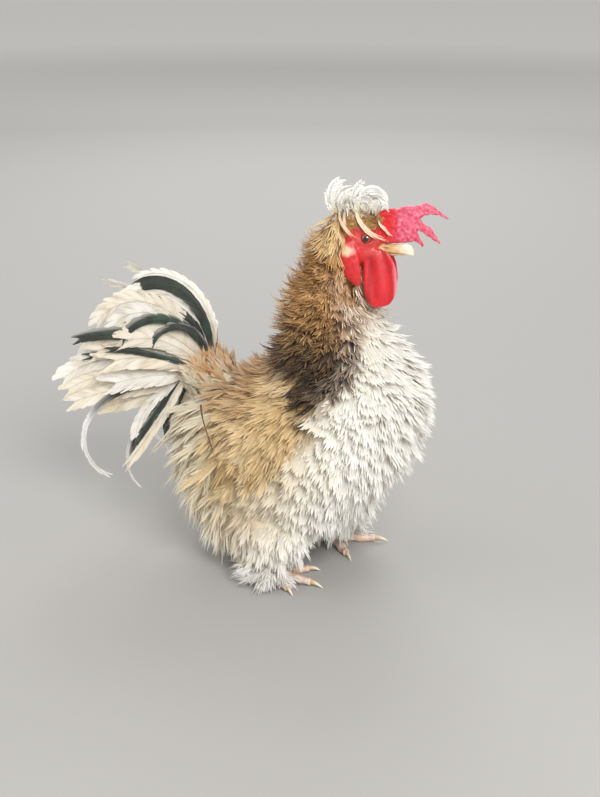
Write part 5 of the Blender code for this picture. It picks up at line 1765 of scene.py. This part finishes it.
def web(rng, line, normals, width, clumps, paint_barb, uv_box, lean=(55, 26), twist=0.0, wave=1.0,
        quill=1.5):
    """A long feather with closed webs: on each side of its shaft, thin leaves of joined barbs
    that overlap, with splits between some of them and a soft uneven edge."""
    rows, cols = 4, 7
    length = np.sum(np.linalg.norm(np.diff(line, axis=0), axis=1))
    edges = np.linspace(0.03, 0.97, clumps + 1)
    mid = np.tile((edges[1:] + edges[:-1]) / 2, 2)
    half_pitch = np.tile(np.diff(edges) / 2, 2) * 1.16
    n = len(mid)
    hand = np.repeat((-1.0, 1.0), clumps)[:, None, None]
    i = np.linspace(-1, 1, rows)[None, :, None]
    s = np.linspace(0, 1, cols)[None, None, :]
    split = np.where(rng.uniform(0, 1, n) < 0.25, rng.uniform(0.3, 0.6, n), rng.uniform(0.0, 0.14, n))
    split = split[:, None, None]
    tau = np.clip(mid[:, None, None] + half_pitch[:, None, None] * i * (1 - split * s**2), 0, 1)
    flat = tau.reshape(1, -1)

    def along(values):
        return at_shares(values[None], flat)[0].reshape(n, rows, cols, 3)

    centre, up, ahead = along(line), unit(along(normals)), unit(along(np.gradient(line, axis=0)))
    side = unit(np.cross(ahead, up))
    up, side = twisted(up, side, twist * smooth(0.3, 1.0, tau))
    slope = np.radians(np.interp(tau, (0, 1), lean))
    uneven = 1 - 0.10 * np.abs(i) ** 2 - 0.09 * rng.uniform(0, 1, (n, 1, 1))
    uneven = uneven + 0.03 * rng.normal(0, 1, (n, rows, 1))
    reach = width / 2 * np.interp(tau, *WEB_OUTLINE) / np.sin(slope) * uneven
    across = reach * s * np.sin(slope) * (1 - 0.10 * s**2)
    forward = reach * s * np.cos(slope) * (1 + 0.12 * s**2)
    ripple = noise(np.stack([tau * 6 + 0 * s, hand * 7 + 0 * tau, 0 * tau], -1), 1.0,
                   int(rng.integers(1000)))
    lift = wave * (1.1 * ripple + 0.3 * rng.normal(0, 1, (n, 1, 1))) * s**1.5
    lift = lift + 0.12 * (np.arange(n) % 2)[:, None, None]
    lift = lift - 0.12 * across - 0.10 * across**2 / (width / 2)
    body = centre + forward[..., None] * ahead + (hand * across)[..., None] * side + lift[..., None] * up
    thick = np.zeros((rows, cols))
    thick[1:-1, 1:-1] = 0.16
    over = body + thick[None, ..., None] * up
    under = (body - thick[None, ..., None] * up)[:, 1:-1, 1:-1]
    per = rows * cols + (rows - 2) * (cols - 2)
    points = np.concatenate([over.reshape(n, -1, 3), under.reshape(n, -1, 3)], axis=1)
    top = np.arange(rows * cols).reshape(rows, cols)
    low = top.copy()
    low[1:-1, 1:-1] = rows * cols + np.arange((rows - 2) * (cols - 2)).reshape(rows - 2, cols - 2)
    cells = []
    for a in range(rows - 1):
        for b in range(cols - 1):
            for grid, order in ((top, 1), (low, -1)):
                square = [grid[a, b], grid[a + 1, b], grid[a + 1, b + 1], grid[a, b + 1]]
                if (a, b) in ((0, cols - 2), (rows - 2, 0)):
                    square = square[1:] + square[:1]
                cells += [tuple(square[:3])[::order], (square[0], square[2], square[3])[::order]]
    cells = np.array(cells)
    mirrored = (hand[:, 0, 0] < 0)[:, None, None]
    faces = np.where(mirrored, cells[None, :, ::-1], cells[None]) + np.arange(n)[:, None, None] * per

    def both(values):
        return np.concatenate([values.reshape(n, -1), values[:, 1:-1, 1:-1].reshape(n, -1)], axis=1)

    spread = both(hand * across / (width / 2))
    share = both(tau + forward / length)
    colours = paint_barb(share, spread, points)
    colours = np.clip(colours * (1 + 0.025 * rng.normal(0, 1, (n, 1, 1))), 0, 1)
    uv = box_uv(uv_box, spread, share)
    size = per, len(cells)
    webs = points.reshape(-1, 3), faces.reshape(-1, 3), colours.reshape(-1, 3), uv.reshape(-1, 2), size
    return [webs, quill_shaft(line + 0.15 * normals, quill, 0.22, 0.85, paint_barb, uv_box)]


def plume_line(leave, splay, length, droop, late, side, root_drop, steps=60):
    """Shaft of a tail feather that stands on edge, leaves the rump and droops to its tip."""
    out = side * math.radians(splay)
    aside = np.array((0, side * (1.5 + abs(splay) * 0.28), 0))
    point = RUMP_END + TAIL_AXIS * (6 + max(0, -30 - leave) * 0.15) + TAIL_DOWN * root_drop + aside
    trail, normals = [point], []
    for k in range(steps):
        t = (k + 0.5) / steps
        rise = math.radians(leave - droop * t**late)
        turn = out * (1.0 - 0.25 * t)
        level = math.cos(rise)
        ahead = np.array((-level * math.cos(turn), level * math.sin(turn), math.sin(rise)))
        ahead = unit(ahead + np.array((0, 0.35 * math.sin(turn) * abs(math.sin(rise)), 0)))
        point = point + ahead * length / steps
        trail.append(point)
        outward = np.array((0.0, side, 0.0)) + 0.45 * np.array((math.sin(rise), 0.0, math.cos(rise)))
        normals.append(unit(outward - ahead * (outward @ ahead)))
    normals.append(normals[-1])
    return np.array(trail), np.array(normals)


def pale_vane(seed, warmth, dark_edge=0.0):
    """Colours of a white to beige tail feather."""
    def colour(along, spread, p):
        n = noise(p, 11, seed)
        base = blend(VANE_WHITE, VANE_CREAM, np.clip(warmth + 0.35 * n, 0, 1))
        base = blend(base, VANE_ROOT, smooth(0.4, 0.0, along) * 0.7)
        barbs = np.stack([along * 26 - 3 * np.abs(spread), 2 * spread, 0 * along], -1)
        streak = noise(barbs, 1.0, seed + 7)
        base = blend(base, VANE_STREAK, smooth(0.1, 0.8, streak) * 0.5)
        edge = smooth(0.55, 0.9, spread + 0.25
                      * noise(np.stack([along * 5, 0 * spread, 0 * along], -1), 1.0, seed + 3))
        return blend(base, VANE_EDGE, edge * dark_edge * smooth(0.98, 0.8, along))
    return colour


def dark_vane(seed, pale_edge, pale_tip=0.0):
    """Colours of a black-green tail feather."""
    def colour(along, spread, p):
        n = noise(p, 5, seed)
        green = blend(INK, INK_GREEN, smooth(-0.2, 0.7, n) * 0.8)
        wave = 0.2 * noise(np.stack([along * 7, 0 * spread, 0 * along], -1), 1.0, seed + 5)
        edge = smooth(0.5, 0.75, spread + wave) * pale_edge
        edge = np.maximum(edge, smooth(0.45, 0.7, along + wave) * pale_tip)
        base = blend(green, WHITE, np.clip(edge, 0, 1))
        return blend(base, INK_ROOT, smooth(0.16, 0.0, along) * 0.7)
    return colour


# Tail feathers of a side: leaving angle above the level, splay, length, width, droop, how
# late it droops, depth of the root, and look: w white, c cream, d dark, e dark with a pale
# edge, t dark with a pale tip, m cream with a dark edge.
PLUMES = (
    (95, 6, 94, 18, 128, 1.25, -16, "e"), (91, 9, 124, 11, 162, 1.15, -12, "w"),
    (87, 13, 122, 18, 148, 1.1, -6, "c"),
    (92, 11, 90, 9, 128, 1.0, -11, "d"), (74, 13, 96, 17, 136, 1.4, -5, "w"),
    (80, 18, 92, 10, 150, 1.05, -14, "d"),
    (57, 7, 132, 11, 115, 0.8, -12, "t"), (90, 22, 58, 8, 160, 1.2, -14, "d"),
    (60, 19, 82, 21, 108, 1.15, -8, "c"),
    (34, 17, 86, 24, 60, 1.2, -3, "c"), (52, 10, 94, 17, 84, 0.8, -10, "m"),
    (18, 16, 76, 18, 10, 1.3, 8, "m"),
    (14, 14, 113, 20, 60, 2.0, 9, "w"), (2, 15, 103, 19, 44, 2.4, 13, "c"),
    (-6, 9, 76, 9, -6, 1.0, 13, "d"),
    (-9, 17, 98, 20, 18, 2.2, 14, "c"), (-5, 20, 145, 8, 160, 2.1, 14, "t"),
    (-29, 15, 80, 16, -8, 1.0, 12, "m"),
    (-26, 20, 70, 12, 59, 1.4, 10, "w"), (-50, 23, 78, 9, 16, 2.0, 5, "d"),
    (-64, 25, 94, 11, -10, 1.0, 1, "m"),
    (-42, 15, 88, 8, 47, 2.0, 10, "d"), (-43, 17, 124, 4.5, 99, 2.8, 8, "t"),
    (50, 24, 62, 24, 70, 1.2, -6, "c"),
    (24, 26, 64, 26, 40, 1.2, 0, "c"), (2, 26, 62, 24, 20, 1.2, 6, "w"),
    (42, 20, 105, 13, 62, 0.9, -6, "d"),
    (16, 14, 88, 9, 26, 1.2, 4, "d"), (30, 27, 68, 7, 34, 1.1, 0, "d"),
    (97, 5, 103, 8, 132, 1.25, -19, "w"),
)
# Odd feathers of the far side whose curled tips show over the tail.
STRAYS = ((70, 5, 104, 13, 62, 0.8, -14, "w"), (50, 8, 112, 13, 46, 0.8, -14, "w"))
# A dark narrow feather that lies over the right flank.
FLANK_FEATHER = ((-57, -56, 142), (-54, -60, 136), (-50, -63, 128), (-46, -64.5, 119), (-42.5, -65, 110))


def tail_feathers():
    """All the long feathers of the tail, and the dark one on the flank."""
    rng = np.random.default_rng(TAIL_SEED)
    batches, cell = [], 0
    looks = {
        "w": (pale_vane, (0.12,)), "c": (pale_vane, (0.6,)), "m": (pale_vane, (0.7, 0.8)),
        "d": (dark_vane, (0.25,)), "e": (dark_vane, (1.0,)), "t": (dark_vane, (0.5, 0.9)),
    }
    for name, side in SIDES.items():
        for k, (leave, splay, length, width, droop, late, drop, look) in enumerate(PLUMES + STRAYS):
            if name == "R" and k >= len(PLUMES):
                continue
            jitter = rng.normal(0, 1, 4) * (1.0, 1.0, 0.015, 1.5)
            if name == "L" and k < len(PLUMES):
                jitter += (-9 * (leave > 30), 1.5, -0.07, 0)
            line, normals = plume_line(leave + jitter[0], splay + jitter[1], length * (1 + jitter[2]),
                                       droop + jitter[3], late, side, drop)
            maker, amounts = looks[look]
            box = (0.01 + 0.122 * (cell % 8), 0.01 + 0.122 * (cell // 8), 0.11, 0.11)
            narrow = width < 12
            twist = side * float(rng.uniform(-0.2, 0.5))
            batches += web(rng, line, normals, width, max(6, int(length / 8.5)),
                           maker(100 + cell, *amounts), box,
                           (34, 14) if narrow else (48, 24), twist, 0.6 if narrow else 1.2)
            cell += 1
    line = dense(FLANK_FEATHER, 30)
    normals = np.tile(unit(np.array((-0.3, -1.0, 0.25))), (30, 1))

    def colour(along, spread, p):
        return blend(np.broadcast_to(BROWN_DARK, p.shape), GOLD_DARK,
                     smooth(0.2, 0.7, np.abs(spread)) * 0.8)

    batches += web(rng, line, normals, 2.6, 12, colour, (0.9, 0.9, 0.05, 0.05), (34, 14))
    coat_piece("tail_vanes", batches, VANE, ("tail",))


def wing_quills():
    """Ends of the folded wing's quills, which show below its coverts."""
    rng = np.random.default_rng(QUILL_SEED)
    for name, side in SIDES.items():
        batches = []
        for k in range(7):
            v = WING_HALF[1] * (0.30 - 0.95 * k / 6)
            drift = np.linspace(0, 1, 16)
            u = drift * (28 + 5 * math.sin(k * 1.3)) + 10
            point, normal, _ = wing_frame(u, v - 5 * drift**1.5, side)
            high = 4.2 + 3.0 * drift - 0.25 * k
            line = point + high[:, None] * normal
            normals = unit(normal + 0.3 * drift[:, None] * UP)
            pale = blend(GOLD, GOLD_PALE, np.array(0.35 + 0.5 * rng.uniform()))

            def colour(along, spread, p, pale=pale):
                share = smooth(0.3, 0.9, along) * 0.6 + 0.2
                return blend(np.broadcast_to(pale * 0.85, p.shape), GOLD_PALE, share)

            box = (0.1 + 0.11 * k, 0.3, 0.09, 0.3)
            batches += web(rng, line, normals, 6.0, 7, colour, box, (34, 14), side * 0.3, 0.8, 0.8)
        coat_piece(f"wing_quills_{name}", batches, VANE, (f"wing_{name}",))


def make_coat(skin):
    """All the feathers of body, head, crest and legs."""
    rng = np.random.default_rng(COAT_SEED)
    coat_piece("coat_breast", [breast_coat(np.random.default_rng(BREAST_SEED))], PLUMAGE)
    coat_piece("coat_wings", [wing_coat(rng)], PLUMAGE)
    coat_piece("coat_rear", [rear_coat(rng), rump_coat(rng)], PLUMAGE)
    coat_piece("coat_cape", cape_coat(rng), HACKLE)
    coat_piece("coat_nape", nape_coat(rng, skin), HACKLE, ("nape",))
    legs = [thigh_coat(rng, name) for name in SIDES]
    feet = [foot_coat(rng, name, side) for name, side in SIDES.items()]
    coat_piece("coat_legs", legs + feet, PLUMAGE)
    coat_piece("crest_feathers", crest_coat(rng) + [cheek_coat(rng)], PLUMAGE, ("crest",))


# Camera, light and floor


def make_camera():
    """The camera of the photo."""
    scene = bpy.context.scene
    scene.view_settings.view_transform = "Standard"
    camera = bpy.data.objects.new("camera", bpy.data.cameras.new("camera"))
    scene.collection.objects.link(camera)
    turn, level = CAMERA_TURN, math.cos(CAMERA_RISE)
    back = Vector((math.sin(turn) * level, -math.cos(turn) * level, math.sin(CAMERA_RISE)))
    right = Vector((math.cos(turn), math.sin(turn), 0.0))
    up = back.cross(right)
    at = place(CAMERA_AT)
    camera.matrix_world = Matrix(
        (
            (right.x, up.x, back.x, at[0]),
            (right.y, up.y, back.y, at[1]),
            (right.z, up.z, back.z, at[2]),
            (0, 0, 0, 1),
        )
    )
    camera.data.sensor_fit = "VERTICAL"
    camera.data.sensor_height = SENSOR_HEIGHT
    camera.data.lens = SENSOR_HEIGHT * FOCAL_PIXELS / PHOTO_HEIGHT
    camera.data.clip_start = 0.01
    scene.camera = camera


def make_floor():
    """A wide floor whose colour changes with the distance from its middle: paler far away, as painted light
    where the lamps reach less.
    """
    scene = bpy.context.scene
    floor_mesh = bpy.data.meshes.new("floor")
    h = FLOOR_HALF
    floor_mesh.from_pydata([(-h, -h, 0), (h, -h, 0), (h, h, 0), (-h, h, 0)], [], [(0, 1, 2, 3)])
    floor = bpy.data.objects.new("floor", floor_mesh)
    scene.collection.objects.link(floor)
    material, nodes, links, shader = node_tree("floor")
    shader.inputs["Roughness"].default_value = 0.85
    spot = add_node(nodes, "TexCoord")
    distance = add_node(nodes, "VectorMath")
    distance.operation = "LENGTH"
    share = add_node(nodes, "MapRange", {"From Min": FLOOR_NEAR[0], "From Max": FLOOR_FAR[0]})
    ramp = add_node(nodes, "ValToRGB")
    ramp.color_ramp.elements[0].color = FLOOR_NEAR[1]
    ramp.color_ramp.elements[1].color = FLOOR_FAR[1]
    links.new(spot.outputs["Object"], distance.inputs[0])
    links.new(distance.outputs["Value"], share.inputs["Value"])
    links.new(share.outputs["Result"], ramp.inputs["Fac"])
    links.new(ramp.outputs["Color"], shader.inputs["Base Color"])
    floor_mesh.materials.append(material)


def make_light():
    """Soft light from all round, and three lamps turned to the bird's middle."""
    scene = bpy.context.scene
    world = bpy.data.worlds.new("soft")
    world.use_nodes = True
    sky = world.node_tree.nodes["Background"]
    sky.inputs["Color"].default_value = SKY_COLOUR
    sky.inputs["Strength"].default_value = SKY_STRENGTH
    scene.world = world
    centre = Vector(place((0, 0, LIT_HEIGHT)))
    for name, where, size, power in LAMPS:
        light = bpy.data.lights.new(name, "AREA")
        light.size = size
        light.energy = power
        lamp = bpy.data.objects.new(name, light)
        scene.collection.objects.link(lamp)
        lamp.location = where
        lamp.rotation_euler = (centre - Vector(where)).to_track_quat("-Z", "Y").to_euler()


bird_skin = make_skin()
make_eyes()
make_beak()
make_claws()
make_coat(bird_skin)
tail_feathers()
wing_quills()
make_camera()
make_floor()
make_light()
